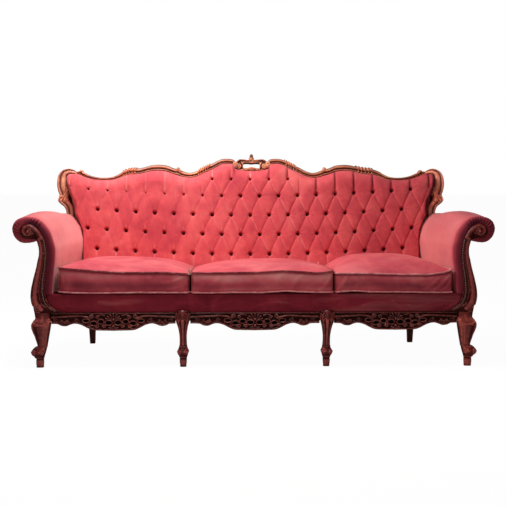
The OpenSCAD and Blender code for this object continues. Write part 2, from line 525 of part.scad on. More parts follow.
// The posts' upper part rides up and down with the crest; their feet stay on the rails
post_shift = crest_base - 600;
function post_up(p, k) = let (h = p[k]) [p[k - 1] + post_move, h > 300 ? h + post_shift : h];
module back_post(s) { color("peru") back_frame() side(s) skin(rail_rings([for (p = post_pairs) post_up(p, 1)],
  [for (p = post_pairs) post_up(p, 3)], tan(back_rake))); }
// Pierced ornament in the middle of the crest, between two small volutes
ornament_t = [-16, 20];
ornament_w = 84 * stretch - 0.4;
module crest_center() { color("peru") back_frame() translate([0, 0, crest_base]) {
  slab(ornament_t[0], ornament_t[1]) difference() {
    polygon(concat(smooth([[-ornament_w, 62], [-66, 74], [-42, 74], [-18, 71], [0, 76], [18, 71], [42, 74], [66, 74], [ornament_w, 62]], 4),
      [for (k = [8 : -1 : -8]) let (x = k * ornament_w / 8) [x, crest_under(x) - crest_base]]));
    polygon(concat(smooth([[-46, 40], [-44, 54], [-20, 56], [0, 54], [20, 56], [44, 54], [46, 40]], 4),
      smooth([[42, 30], [24, 30], [0, 36], [-24, 30], [-42, 30]], 4)));
  }
  for (s = [-1, 1]) translate([s * 70, ornament_t[0], 36]) rotate([90, 0, 0]) cylinder(h = 5, r = 14, $fn = 40);
  translate([0, 0, 70]) rotate_extrude($fn = 40) polygon([[0, 0], [13, 0], [15, 6], [11, 13], [6, 24], [2.5, 33], [0, 35]]);
} }

module leaning_slab(t0, t1) { back_frame() slab(t0, t1) children(); }
// Everything under the top of the seat rails
module below_rails() { translate([-big / 2, -big / 2, -big + rail_top_z + seat_gap]) cube([big, big, big]); }
module back_stile(s) { color("burlywood") side(s) difference() {
  leaning_slab(0, back_timber_t) polygon([[frame_half_w - stile_w, -20], [frame_half_w, -20], [frame_half_w, crest_under(frame_half_w) - 1],
    [frame_half_w - stile_w, crest_under(frame_half_w - stile_w) - 1]]);
  below_rails(); } }
rail_half = frame_half_w - stile_w - seat_gap;
top_steps = 60;
function under_line(drop) = [for (k = [0 : top_steps]) let (x = mix(-rail_half, rail_half, k / top_steps)) [x, dip_under(x) - drop]];
module top_rail_shape(drop) { polygon(concat(under_line(1), reversed(under_line(drop)))); }
module back_top_rail() { color("burlywood") leaning_slab(0, back_timber_t) top_rail_shape(timber_drop); }
bottom_rail_s = [20, 92];
module back_bottom_rail() { color("burlywood") leaning_slab(0, back_timber_t)
  translate([-rail_half, bottom_rail_s[0]]) square([2 * rail_half, bottom_rail_s[1] - bottom_rail_s[0]]); }
module back_upright(s) { color("burlywood") leaning_slab(0, back_timber_t) difference() {
  translate([s * inner_leg_x - 25, bottom_rail_s[1] + seat_gap]) square([50, crest_base - bottom_rail_s[1]]);
  polygon(concat(under_line(-big / 4), reversed(under_line(timber_drop + seat_gap)))); } }
module back_webbing() { color("tan") leaning_slab(-strap_t, 0) union() {
  for (k = [-4 : 4]) let (x = k * (frame_half_w - 169) / 4) translate([x - strap_w / 2, bottom_rail_s[0] + 12])
    square([strap_w, crest_under(x) - 36 - bottom_rail_s[0]]);
  for (s = [190, 300, 410]) translate([-frame_half_w + 12, s - strap_w / 2]) square([2 * frame_half_w - 24, strap_w]); } }
module outside_back() { color("indianred") difference() {
  leaning_slab(back_timber_t + seat_gap, back_timber_t + seat_gap + 2.5)
    polygon(concat([[-frame_half_w, -20]], [for (k = [0 : top_steps]) let (x = mix(-frame_half_w, frame_half_w, k / top_steps)) [x, dip_under(x) - 1]],
      [[frame_half_w, -20]]));
  below_rails(); } }

// The padding's mesh: its front follows the buttons, its back is flat on the webbing
module back_pad() {
  columns = 2 * half_columns + 1;
  rows = pad_rows + 1;
  front = [for (j = [0 : pad_rows], i = [-half_columns : half_columns]) pad_point(i, j)];
  rim = concat([for (i = [0 : columns - 1]) i], [for (j = [1 : rows - 1]) j * columns + columns - 1],
    [for (i = [columns - 2 : -1 : 0]) (rows - 1) * columns + i], [for (j = [rows - 2 : -1 : 1]) j * columns]);
  n = len(front);
  m = len(rim);
  flat = [for (r = rim) [front[r][0], pad_back_y, front[r][2]]];
  centre = [0, pad_back_y, 300];
  // A square is cut along the crease that crosses it
  squares = [for (j = [0 : rows - 2], i = [0 : columns - 2]) let (a = j * columns + i, b = a + 1, c = a + columns, d = c + 1,
      rising = (i - half_columns + j - pad_rows_below) % 2 == 0)
    each (rising ? [[a, c, d], [a, d, b]] : [[a, c, b], [b, c, d]])];
  sides = [for (k = [0 : m - 1]) let (a = rim[k], b = rim[(k + 1) % m], c = n + k, d = n + (k + 1) % m) each [[a, b, c], [b, d, c]]];
  rear = [for (k = [0 : m - 1]) [n + k, n + (k + 1) % m, n + m]];
  color("indianred") back_frame() polyhedron(concat(front, flat, [centre]), concat(squares, sides, rear));
}
button_h = 7;
button_ease = 0.85;
// How far from the frame a button sits, so that its rim rests on the sides of its pit
function depth_along_row(x, s, dx) = pad_depth(x + dx, s + row_height(x + dx, 0) - row_height(x, 0));
function button_seat(x, s, ease) = let (a = pad_depth(x, s), step = button_pitch / 4)
  a + max(depth_along_row(x, s, step) - a, depth_along_row(x, s, -step) - a, 0) * button_r / step + ease;
// A domed button on the padding at x and s
module button(x, s, ease) {
  translate([x, -button_seat(x, s, ease), s]) rotate([90, 0, 0]) intersection() {
    cylinder(h = button_h, r = button_r, $fn = 32);
    translate([0, 0, button_h - 16]) sphere(r = 16, $fn = 48);
  }
}
module back_buttons() { color("maroon") back_frame() {
  for (b = lattice_buttons) button(b[0], b[1], button_ease);
  for (b = crest_buttons) button(b[0], b[1], seat_gap); } }

// Seat cushions

cushion_y = [-42, seat_depth - back_pad_t + 14];
cushion_side = 6;
// Share along one side of the cushion, from corner to corner
side_shares = [for (k = [0 : cushion_side]) let (v = 2 * k / cushion_side - 1) 0.93 * v];
// Corner and side points of a unit square, drawn in along the sides by pull
function unit_ring(pull) = [for (q = [0 : 3]) each concat(
  [for (v = side_shares) let (p = [v, -(1 - pull * (1 - v * v))]) [[p[0], p[1]], [-p[1], p[0]], [-p[0], -p[1]], [p[1], -p[0]]][q]],
  [[[0.985, -0.985], [0.985, 0.985], [-0.985, 0.985], [-0.985, -0.985]][q]])];
// Rings of a cushion: [height, distance inside its outline]
cushion_rings = [[0, 60], [0, 12], [5, 2], [cushion_edge_h * 0.3, 0], [cushion_edge_h * 0.7, 0], [cushion_edge_h - 5, 2], [cushion_edge_h + 1, 10],
  [cushion_edge_h + cushion_crown * 0.42, 50], [cushion_edge_h + cushion_crown * 0.75, 105], [cushion_edge_h + cushion_crown * 0.93, 165],
  [cushion_edge_h + cushion_crown, 235]];
// Cushion between two edges, each [x at the front, x at the back]
module cushion(left, right) {
  w = (right[0] - left[0] + right[1] - left[1]) / 4;
  d = (cushion_y[1] - cushion_y[0]) / 2;
  color("indianred") translate([0, 0, deck_top + 0.3]) skin([for (r = cushion_rings)
    [for (u = unit_ring(0.012)) let (fy = (1 + u[1] * (1 - r[1] / d)) / 2, fx = (1 + u[0] * (1 - r[1] / w)) / 2)
      [mix(mix(left[0], left[1], fy), mix(right[0], right[1], fy), fx), mix(cushion_y[0], cushion_y[1], fy), r[0]]]]);
}
outer_front = clear_x(cushion_y[0], cushion_clear);
outer_back = clear_x(cushion_y[1], cushion_clear + 2);
left_seam = -outer_front + cushion_left_w;
right_seam = left_seam + cushion_gap + cushion_middle_w;

placed() front_leg(-1);  // front_leg_left
placed() front_leg(1);  // front_leg_right
placed() front_leg_inner(-1);  // front_leg_inner_left
placed() front_leg_inner(1);  // front_leg_inner_right
placed() rear_leg(-1);  // rear_leg_left
placed() rear_leg(1);  // rear_leg_right
placed() apron(-outer_apron_x[1], -outer_apron_x[0]);  // apron_left
placed() apron(-inner_leg_x + inner_leg_half, inner_leg_x - inner_leg_half);  // apron_middle
placed() apron(outer_apron_x[0], outer_apron_x[1]);  // apron_right
placed() arm_facing(-1);  // arm_facing_left
placed() arm_facing(1);  // arm_facing_right
placed() arm_front_stump(-1);  // arm_front_stump_left
placed() arm_front_stump(1);  // arm_front_stump_right
placed() arm_rear_stump(-1);  // arm_rear_stump_left
placed() arm_rear_stump(1);  // arm_rear_stump_right
placed() arm_top_rail(-1);  // arm_top_rail_left
placed() arm_top_rail(1);  // arm_top_rail_right
placed() arm_lining(-1);  // arm_lining_left
placed() arm_lining(1);  // arm_lining_right
placed() arm_pad(-1);  // arm_pad_left
placed() arm_pad(1);  // arm_pad_right
placed() arm_roll(-1);  // arm_roll_left
placed() arm_roll(1);  // arm_roll_right
placed() outside_arm(-1);  // outside_arm_left
placed() outside_arm(1);  // outside_arm_right
placed() seat_front_rail();
placed() seat_rear_rail();
placed() seat_side_rail(-1);  // seat_side_rail_left
placed() seat_side_rail(1);  // seat_side_rail_right
placed() seat_cross_rail(-1);  // seat_cross_rail_left
placed() seat_cross_rail(1);  // seat_cross_rail_right
placed() corner_blocks();
placed() corner_block_screws();
placed() seat_webbing();
placed() seat_springs();
placed() spring_cover();
placed() seat_deck();
placed() front_border();
placed() dust_cover();
placed() crest(-1);  // crest_left
placed() crest(1);  // crest_right
placed() crest_center();
placed() back_post(-1);  // back_post_left
placed() back_post(1);  // back_post_right
placed() back_stile(-1);  // back_stile_left
placed() back_stile(1);  // back_stile_right
placed() back_top_rail();
placed() back_bottom_rail();
placed() back_upright(-1);  // back_upright_left
placed() back_upright(1);  // back_upright_right
placed() back_webbing();
placed() back_pad();
placed() back_buttons();
placed() outside_back();
placed() cushion([-outer_front, -outer_back], [left_seam, left_seam]);  // cushion_left
placed()  // cushion_middle
  cushion([left_seam + cushion_gap, left_seam + cushion_gap], [right_seam, right_seam]);
placed()  // cushion_right
  cushion([right_seam + cushion_gap, right_seam + cushion_gap], [outer_front, outer_back]);
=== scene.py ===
# %% [markdown]
# # A carved sofa with a buttoned velvet back
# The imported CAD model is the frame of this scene. Every piece below is worked out in metres in that
# frame, so a cushion or a carving lands where its solid is. Nothing is moved by hand.

# %% Load the frame
import bpy
import bmesh
import json
import math
import numpy as np
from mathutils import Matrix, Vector


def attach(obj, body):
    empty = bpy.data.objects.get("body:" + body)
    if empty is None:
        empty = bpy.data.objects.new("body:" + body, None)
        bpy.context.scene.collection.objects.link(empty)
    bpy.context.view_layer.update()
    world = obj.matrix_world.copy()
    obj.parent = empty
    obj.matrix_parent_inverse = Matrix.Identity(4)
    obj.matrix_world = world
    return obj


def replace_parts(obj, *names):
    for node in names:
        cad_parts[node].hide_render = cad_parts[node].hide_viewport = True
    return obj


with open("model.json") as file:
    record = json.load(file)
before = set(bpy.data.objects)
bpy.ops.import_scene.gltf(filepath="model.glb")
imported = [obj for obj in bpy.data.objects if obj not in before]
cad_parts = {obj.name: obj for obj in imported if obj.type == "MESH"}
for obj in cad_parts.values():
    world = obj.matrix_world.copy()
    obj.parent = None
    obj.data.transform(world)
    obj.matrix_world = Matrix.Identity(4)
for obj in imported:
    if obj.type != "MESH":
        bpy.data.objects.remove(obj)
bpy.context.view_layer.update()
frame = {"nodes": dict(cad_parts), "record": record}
scene = bpy.context.scene

# %% [markdown]
# ## The sofa's own sizes
# The frame of the seat, the arms and the leaning back is drawn in millimetres, as the joiner would.
# Y is counted from the line of the front feet; the CAD puts the sofa's middle at Y = 0, so each
# finished shape is moved by the same amount and scaled to metres.

# %% Sizes in millimetres
MIDDLE_Y = 363.862
SEAT_HALF = 937.0
SEAT_DEPTH = 617.0
RAIL_TOP = 334.0
DECK_TOP = 350.8
RAKE = math.radians(12)
SPLAY = math.radians(3.6)
ARM_TOP = 712.0
ROLL_X = SEAT_HALF + 118
ROLL_Z = ARM_TOP - 62
APRON_TOP = 262.0
CREST = 600.0
BOARD_BACK = -10.4
PITCH = 102.0
ROW = 105.0
SIDES = ((-1, "left"), (1, "right"))


def joined(*parts):
    """Arrays side by side on a last axis, whatever shapes they have that fit together: coordinates
    make points and corner numbers make faces."""
    return np.stack(np.broadcast_arrays(*parts), -1)


def metres(p):
    """Millimetres with Y from the front feet, to metres in the CAD's frame."""
    p = np.asarray(p, float).copy()
    p[..., 1] -= MIDDLE_Y
    return p / 1000


def lean(x, back, up):
    """Point of the leaning back: x along, `back` behind its face and `up` along its slope.
    y = depth + back cos a + up sin a, z = rail + up cos a - back sin a."""
    return joined(x, SEAT_DEPTH + back * math.cos(RAKE) + up * math.sin(RAKE),
                  RAIL_TOP + up * math.cos(RAKE) - back * math.sin(RAKE))


def splay(x, y, z):
    """Point of an arm: behind the front line the arm turns inward, so x loses y tan a."""
    x, y, z = np.broadcast_arrays(x, y, z)
    turned = SEAT_HALF + (x - SEAT_HALF) / math.cos(SPLAY) - y * math.tan(SPLAY)
    return joined(np.where(y > 0, turned, x), y, z)


# %% [markdown]
# ## Curves
# The carver's outlines are a handful of listed points. A smooth curve runs through them: between
# two points it is a cubic whose slope at each point is half the step between its neighbours.

# %% Curve helpers
def smooth(drawn, n=4):
    """Smooth curve through the points, n steps apiece: the cubic blend of four neighbours."""
    p = np.asarray(drawn, float)
    q = np.vstack([p[:1], p, p[-1:]])
    a, b, c, d = (q[i:len(p) - 1 + i, None] for i in range(4))
    t = (np.arange(n) / n)[None, :, None]
    body = 0.5 * (2 * b + (c - a) * t + (2 * a - 5 * b + 4 * c - d) * t ** 2 + (3 * b - a - 3 * c + d) * t ** 3)
    return np.vstack([body.reshape(-1, p.shape[1]), p[-1:]])


def even(curve, n):
    """The same curve with n points at equal steps along it."""
    p = np.asarray(curve, float)
    s = np.concatenate([[0], np.cumsum(np.linalg.norm(np.diff(p, axis=0), axis=1))])
    t = np.linspace(0, s[-1], n)
    return np.stack([np.interp(t, s, p[:, k]) for k in range(p.shape[1])], -1)


def beside(p, d):
    """A flat curve moved sideways by d, to its right as it runs."""
    v = np.gradient(p, axis=0)
    v /= np.maximum(np.linalg.norm(v, axis=1, keepdims=True), 1e-9)
    return p + np.asarray(d)[..., None] * joined(v[:, 1], -v[:, 0])


def spiral(centre, r0, r1, start, turns, n=60):
    """Scroll line: the radius falls evenly from r0 to r1 while the angle runs on by `turns`."""
    t = np.linspace(0, 1, n)
    a = np.radians(start) + 2 * np.pi * turns * t
    r = r0 + (r1 - r0) * t
    return joined(centre[0] + r * np.cos(a), centre[1] + r * np.sin(a))


def ease(t):
    """0 below 0, 1 above 1, and 3t^2 - 2t^3 between."""
    t = np.clip(t, 0, 1)
    return t * t * (3 - 2 * t)


def bell(d, width, power=2):
    """1 at d = 0, falling off on both sides: exp(-(d / width)^power)."""
    return np.exp(-(d / width) ** power)


def wrinkle(x, y, seed, scale=1.0, octaves=4):
    """Smooth noise: a sum of sine waves in random directions, each octave twice as fine."""
    g = np.random.default_rng(seed)
    total = np.zeros(np.broadcast(x, y).shape)
    for k in range(octaves):
        for _ in range(5):
            a, ph = g.uniform(0, 2 * np.pi, 2)
            f = 2 ** k / scale * g.uniform(0.7, 1.3)
            total += np.sin(f * (x * np.cos(a) + y * np.sin(a)) + ph) / 2 ** k / 5
    return total


# %% [markdown]
# ## From numbers to meshes
# Every new piece is a grid of points, one row for each step along it. The grid is closed round its
# section, its ends are capped, and the whole array goes into the mesh in one call.

# %% Mesh helpers
def mesh_piece(name, verts, faces, body, material):
    """New smooth-shaded piece that rides on a body and takes its finish from a slot."""
    mesh = bpy.data.meshes.new(name)
    mesh.from_pydata(np.asarray(verts).tolist(), [], [list(f) for f in faces])
    mesh.update()
    mesh.polygons.foreach_set("use_smooth", np.ones(len(mesh.polygons), bool))
    obj = bpy.data.objects.new(name, mesh)
    scene.collection.objects.link(obj)
    mesh.materials.append(material)
    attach(obj, body)
    return obj


def grid_faces(nu, nv, wrap_u=False, wrap_v=False):
    """Quads of a grid with nu rows of nv points, closed round either way."""
    i = np.arange(nu if wrap_u else nu - 1)[:, None]
    j = np.arange(nv if wrap_v else nv - 1)[None, :]
    a = i * nv + j
    b = i * nv + (j + 1) % nv
    c = (i + 1) % nu * nv + (j + 1) % nv
    d = (i + 1) % nu * nv + j
    return joined(a, b, c, d).reshape(-1, 4)


def set_attr(obj, name, values):
    """Stores one number a vertex, such as how high a carving stands there."""
    a = obj.data.attributes.new(name, "FLOAT", "POINT")
    a.data.foreach_set("value", np.asarray(values, np.float32).ravel())


def outward(obj):
    """Turns every face of a closed mesh outwards."""
    bm = bmesh.new()
    bm.from_mesh(obj.data)
    bmesh.ops.recalc_face_normals(bm, faces=bm.faces)
    bm.to_mesh(obj.data)
    bm.free()


def skin(name, rings, body, material, relief=None, closed=False):
    """Closed skin over rings of points, shape (rings, points, 3) in metres. Row k joins row k + 1,
    and the two end rings are filled in, or joined where the skin is a loop."""
    nu, nv, _ = rings.shape
    faces = [tuple(f) for f in grid_faces(nu, nv, closed, True)]
    if not closed:
        faces += [tuple(range(nv))[::-1], tuple(range((nu - 1) * nv, nu * nv))]
    obj = mesh_piece(name, rings.reshape(-1, 3), faces, body, material)
    if relief is not None:
        set_attr(obj, "relief", relief)
    outward(obj)
    return obj


# %% [markdown]
# ## Carving
# A carver works from drawn lines: scrolls, leaf veins and beads, each a rounded ridge over a sunk
# ground. `ridges` does the same. The height at a point is that of the highest ridge there, and a
# ridge falls off as a half circle with the distance from its line. Wood that stands `PROUD`
# millimetres high is rubbed all the way and takes the full painted highlight.

# %% Ridges
PROUD = 9.3


def ridges(flat, lines):
    """Height of the carving at flat points: max over lines of h sqrt(1 - (distance / w)^2).
    A line is (curve, w, h), where w and h may taper from the first value to the second."""
    p = np.asarray(flat, np.float32).reshape(-1, 2)
    height = np.zeros(len(p), np.float32)
    for curve, w, h in lines:
        c = np.asarray(curve, float)
        if len(c) > 1:
            c = even(c, max(2, int(np.linalg.norm(np.diff(c, axis=0), axis=1).sum() / 1.5) + 2))
        c = c.astype(np.float32)
        w = np.linspace(*(w if np.ndim(w) else (w, w)), len(c)).astype(np.float32)
        h = np.linspace(*(h if np.ndim(h) else (h, h)), len(c)).astype(np.float32)
        reach = w.max()
        near = np.flatnonzero((p[:, 0] > c[:, 0].min() - reach) & (p[:, 0] < c[:, 0].max() + reach)
                              & (p[:, 1] > c[:, 1].min() - reach) & (p[:, 1] < c[:, 1].max() + reach))
        for part in np.array_split(near, len(near) // 20000 + 1):
            if not len(part):
                continue
            d = np.linalg.norm(p[part, None] - c[None], axis=2) / w[None]
            value = (h[None] * np.sqrt(np.clip(1 - d * d, 0, None))).max(1)
            height[part] = np.maximum(height[part], value)
    return height.reshape(np.asarray(flat).shape[:-1])


def leaf(base, tip, width, lobes=4, w=3.0, h=5.0):
    """Acanthus leaf: a middle vein and pairs of side veins that sweep out and curl to the tip."""
    base, tip = np.asarray(base, float), np.asarray(tip, float)
    along = tip - base
    across = np.array([-along[1], along[0]]) / max(np.linalg.norm(along), 1e-9)
    t = np.linspace(0, 1, 24)[:, None]
    lines = [(base + along * t, (w * 1.3, w * 0.5), (h * 1.2, h * 0.6))]
    for k in range(lobes):
        s = k / lobes
        reach = width * math.sin(math.pi * (0.22 + 0.7 * s))
        for side in (-1, 1):
            q = (base + along * (s + (0.42 - 0.1 * s) * t) + side * across * reach * np.sin(t * np.pi / 2))
            lines.append((q, (w, w * 0.9), (h * 0.7, h)))
    return lines


def bead_row(curve, step, r, h):
    """Row of round beads along a curve, `step` apart."""
    c = np.asarray(curve, float)
    length = np.linalg.norm(np.diff(c, axis=0), axis=1).sum()
    pts = even(c, max(int(length / step), 2))
    return [(pts[k:k + 1], r, h) for k in range(len(pts))]


# %% [markdown]
# ## Helpers for materials
# A material is a small network of nodes that ends in the Principled shader. Most of them start from
# noise on Object coordinates, in metres, so a pattern has its real scale on every piece and stays
# still when the piece moves. These helpers add a node, place it and join it up.

# %% Material helpers
UPRIGHT, ALONG = (40.0, 40.0, 6.0), (6.0, 40.0, 40.0)


def new_material(name):
    """A material with its node tree and its shader."""
    mat = bpy.data.materials.new(name)
    mat.use_nodes = True
    return mat, mat.node_tree, mat.node_tree.nodes["Principled BSDF"]


def add(nt, kind, **values):
    """A node with its settings and its sockets' plain values."""
    node = nt.nodes.new(kind)
    for key, value in values.items():
        if hasattr(node, key):
            setattr(node, key, value)
        else:
            node.inputs[key.replace("_", " ")].default_value = value
    return node


def where(nt, stretch=None):
    """Object coordinates, times `stretch` on each axis: a small number draws the pattern out."""
    spot = nt.nodes.new("ShaderNodeTexCoord").outputs["Object"]
    if stretch:
        turn = add(nt, "ShaderNodeMapping", Scale=stretch)
        nt.links.new(spot, turn.inputs["Vector"])
        spot = turn.outputs["Vector"]
    return spot


def noise(nt, spot, **values):
    """Soft noise from 0 to 1 at each spot."""
    node = add(nt, "ShaderNodeTexNoise", **values)
    nt.links.new(spot, node.inputs["Vector"])
    return node.outputs["Fac"]


def ramp(nt, factor, stops):
    """Colour that runs through (place, colour) stops as the factor grows."""
    node = nt.nodes.new("ShaderNodeValToRGB")
    el = node.color_ramp.elements
    while len(el) < len(stops):
        el.new(0.5)
    for e, (at, colour) in zip(el, stops):
        e.position = at
        e.color = (*colour, 1)
    nt.links.new(factor, node.inputs["Fac"])
    return node.outputs["Color"]


def spread(nt, value, socket, low, high, top=1.0):
    """Sets a socket to low + (high - low) value / top."""
    node = add(nt, "ShaderNodeMapRange", From_Max=top, To_Min=low, To_Max=high)
    nt.links.new(value, node.inputs["Value"])
    nt.links.new(node.outputs["Result"], socket)


def bump(nt, bsdf, height, strength, distance, below=None):
    """Fine relief from a height, laid over another bump where one is given."""
    node = add(nt, "ShaderNodeBump", Strength=strength, Distance=distance)
    nt.links.new(height, node.inputs["Height"])
    if below is not None:
        nt.links.new(below, node.inputs["Normal"])
    nt.links.new(node.outputs["Normal"], bsdf.inputs["Normal"])
    return node.outputs["Normal"]


print("material helpers ready")

# %% [markdown]
# ## Velvet
# Velvet is dark where it faces us and glows where it turns away, because its pile stands up. The
# shader's sheen does that. Soft noise rubs the pile lighter and darker in patches, and a very fine
# noise breaks up the surface as cut pile does. A mesh may carry a `wear_and_shade` number that paints
# light and shade into the colour: where it is positive the pile is painted pale, as rubbed pile and as
# painted highlight, and where it is negative it is painted dark, as flattened pile and as painted shade
# in creases, pits and hollows, where the sheen is turned down too.

# %% Velvet
# Painted highlight and painted shade: the pale and dark tones that the mesh's number mixes in, which also stand for
# rubbed and flattened pile.
RUBBED_AND_HIGHLIGHT_TONE, FLATTENED_AND_SHADE_TONE = (0.95, 0.36, 0.33), (0.085, 0.004, 0.016)


def velvet(name, dark, mid, light, sheen=0.55, tint=(1.0, 0.56, 0.55), patch=7.0, wear_and_shade=True):
    """Pile in three tones, mixed by noise. Where `wear_and_shade` is on, out = tone (1 - f) + pale f for
    the mesh's own number f, and likewise towards the dark tone where f is negative: rubbed pile and
    painted highlight, flattened pile and painted shade. The sheen dies away where the shade is painted."""
    mat, nt, bsdf = new_material(name)
    spot = where(nt)
    out = ramp(nt, noise(nt, spot, Scale=patch, Detail=5.0, Roughness=0.6, Distortion=0.8),
               [(0.3, dark), (0.5, mid), (0.72, light)])
    if wear_and_shade:
        number = add(nt, "ShaderNodeAttribute", attribute_name="wear_and_shade").outputs["Fac"]
        for sign, tone in ((1.0, RUBBED_AND_HIGHLIGHT_TONE), (-1.0, FLATTENED_AND_SHADE_TONE)):
            side = add(nt, "ShaderNodeMath", operation="MULTIPLY", use_clamp=True)
            side.inputs[1].default_value = sign
            nt.links.new(number, side.inputs[0])
            mix = add(nt, "ShaderNodeMix", data_type="RGBA")
            mix.inputs[7].default_value = (*tone, 1)
            nt.links.new(side.outputs["Value"], mix.inputs["Factor"])
            nt.links.new(out, mix.inputs[6])
            out = mix.outputs[2]
        spread(nt, side.outputs["Value"], bsdf.inputs["Sheen Weight"], sheen, sheen * 0.12, 0.5)
    else:
        bsdf.inputs["Sheen Weight"].default_value = sheen
    nt.links.new(out, bsdf.inputs["Base Color"])
    pile = noise(nt, spot, Scale=1400.0, Detail=2.0, Roughness=0.7)
    crush = noise(nt, spot, Scale=60.0, Detail=6.0, Roughness=0.65, Distortion=1.2)
    bump(nt, bsdf, pile, 0.3, 0.0004, bump(nt, bsdf, crush, 0.25, 0.0015))
    for socket, value in (("Roughness", 0.8), ("Specular IOR Level", 0.15), ("Sheen Roughness", 0.38)):
        bsdf.inputs[socket].default_value = value
    bsdf.inputs["Sheen Tint"].default_value = (*tint, 1)
    return mat


ROSE_TONES = (0.58, 0.060, 0.080), (0.71, 0.085, 0.098), (0.82, 0.13, 0.13)
# The same velvet much darker for the border and the deck under the cushions: painted shade.
ROSE_TONES_IN_PAINTED_SHADE = (0.20, 0.010, 0.022), (0.27, 0.016, 0.030), (0.35, 0.026, 0.040)
ROSE_BACK = velvet("rose velvet back", *ROSE_TONES)
ROSE = velvet("rose velvet", *ROSE_TONES, wear_and_shade=False)
ROSE_CUSHION = velvet("rose velvet cushions", (0.51, 0.057, 0.084), (0.64, 0.086, 0.109), (0.76, 0.138, 0.148),
                      0.34, (1.0, 0.47, 0.40))
ROSE_ARM = velvet("rose velvet arms", (0.54, 0.060, 0.085), (0.64, 0.078, 0.100), (0.73, 0.11, 0.125), 0.7)
ROSE_BORDER = velvet("rose velvet border", *ROSE_TONES_IN_PAINTED_SHADE, 0.08)
ROSE_DECK = velvet("rose velvet deck", *ROSE_TONES_IN_PAINTED_SHADE, 0.08, wear_and_shade=False)
# A darker velvet for the top piping: painted shade for the shadow line under the seam.
ROSE_PIPING_IN_PAINTED_SHADE = velvet("rose velvet top piping in painted shade", (0.20, 0.030, 0.040), (0.34, 0.055, 0.066), (0.62, 0.16, 0.16),
                   0.3, patch=26.0, wear_and_shade=False)
ROSE_PIPING = velvet("rose velvet piping", (0.60, 0.13, 0.15), (0.76, 0.22, 0.23), (0.92, 0.38, 0.36),
                     0.6, patch=30.0, wear_and_shade=False)
ROSE_THREAD = velvet("worn rose threads", (0.93, 0.34, 0.31), (0.96, 0.44, 0.40), (0.97, 0.62, 0.56),
                     0.25, (1.0, 0.5, 0.45), patch=30.0, wear_and_shade=False)
# Nearly black button velvet: painted shade of the pits the buttons sit in.
ROSE_BUTTON_IN_PAINTED_SHADE = velvet("rose velvet buttons in painted shade", (0.12, 0.010, 0.018), (0.15, 0.013, 0.02), (0.19, 0.02, 0.03),
                     0.08, patch=40.0, wear_and_shade=False)
print("velvets made")

# %% [markdown]
# ## Polished wood
# The show wood is a red-brown hardwood under varnish. Its grain is a noise stretched along the
# piece. Where the carving is deep the stain has gathered and painted shade darkens it nearly to black,
# and where it stands proud it is rubbed to orange-tan, with a painted highlight brighter than the
# wood, and shines; all of this follows the `relief` number that each carved mesh carries.

# %% Polished wood
WOOD_TONES = (0.21, 0.046, 0.034), (0.40, 0.11, 0.065)
# Stain by relief, with painted light: nearly black in the deepest grooves as painted shade, and above 1 on the proudest
# wood as a painted highlight.
STAIN_AND_PAINTED_LIGHT = [(0.0, (0.05, 0.03, 0.03)), (0.06, (0.24, 0.15, 0.14)), (0.35, (0.75, 0.66, 0.62)), (0.8, (1.8, 1.75, 1.5))]


def polished_wood(name, stretch, tone=(1.0, 1.0, 1.0), relief=True):
    """Grain in two browns times `tone`, times the stain and painted light that the relief sets."""
    mat, nt, bsdf = new_material(name)
    mid, light = np.array(WOOD_TONES) * tone
    grain = noise(nt, where(nt, stretch), Scale=1.0, Detail=8.0, Roughness=0.65, Distortion=1.5)
    out = ramp(nt, grain, [(0.34, mid * 0.75), (0.5, mid), (0.68, light * 0.8)])
    bsdf.inputs["Specular IOR Level"].default_value = 0.3
    if relief:
        height = add(nt, "ShaderNodeAttribute", attribute_name="relief").outputs["Fac"]
        mix = add(nt, "ShaderNodeMix", data_type="RGBA", blend_type="MULTIPLY", Factor=1.0)
        nt.links.new(out, mix.inputs[6])
        nt.links.new(ramp(nt, height, STAIN_AND_PAINTED_LIGHT), mix.inputs[7])
        out = mix.outputs[2]
        spread(nt, height, bsdf.inputs["Specular IOR Level"], 0.06, 0.42, 0.7)
        spread(nt, height, bsdf.inputs["Coat Weight"], 0.0, 0.28, 0.7)
    nt.links.new(out, bsdf.inputs["Base Color"])
    spread(nt, noise(nt, where(nt), Scale=25.0, Detail=4.0, Roughness=0.6), bsdf.inputs["Roughness"], 0.3, 0.48)
    bump(nt, bsdf, grain, 0.2, 0.0006)
    bsdf.inputs["Coat Roughness"].default_value = 0.2
    return mat


# Tones per piece. The crest and ears are much lighter copies of the wood, a painted highlight where the top light
# falls; the right ear and the right front leg take lighter copies still, painted light for pieces that stand in shade.
CARVED_X = polished_wood("polished carved wood along", ALONG, (0.8, 0.62, 0.72))
CARVED_Z = polished_wood("polished carved wood upright", UPRIGHT, (1.15, 0.72, 0.92))
CARVED_WOOD_PAINTED_LIGHTER = polished_wood("polished carved wood painted lighter", UPRIGHT, (1.6, 1.08, 1.3))
PLAIN_WOOD = polished_wood("polished plain wood", UPRIGHT, relief=False)
CREST_WOOD = polished_wood("polished crest wood", ALONG, (2.1, 3.5, 2.9))
EAR_WOOD = polished_wood("polished ear wood", UPRIGHT, (2.5, 4.2, 4.0))
EAR_WOOD_PAINTED_LIGHTER = polished_wood("polished ear wood painted lighter", UPRIGHT, (4.4, 7.0, 7.0))
print("woods made")

# %% [markdown]
# ## Inside materials
# The parts under the cover are plain: sawn timber, woven hessian and webbing, black lining and
# bare steel. They show only when a cushion is lifted or the sofa is turned over. The trim beads on
# the facings are an aged, dull metal.

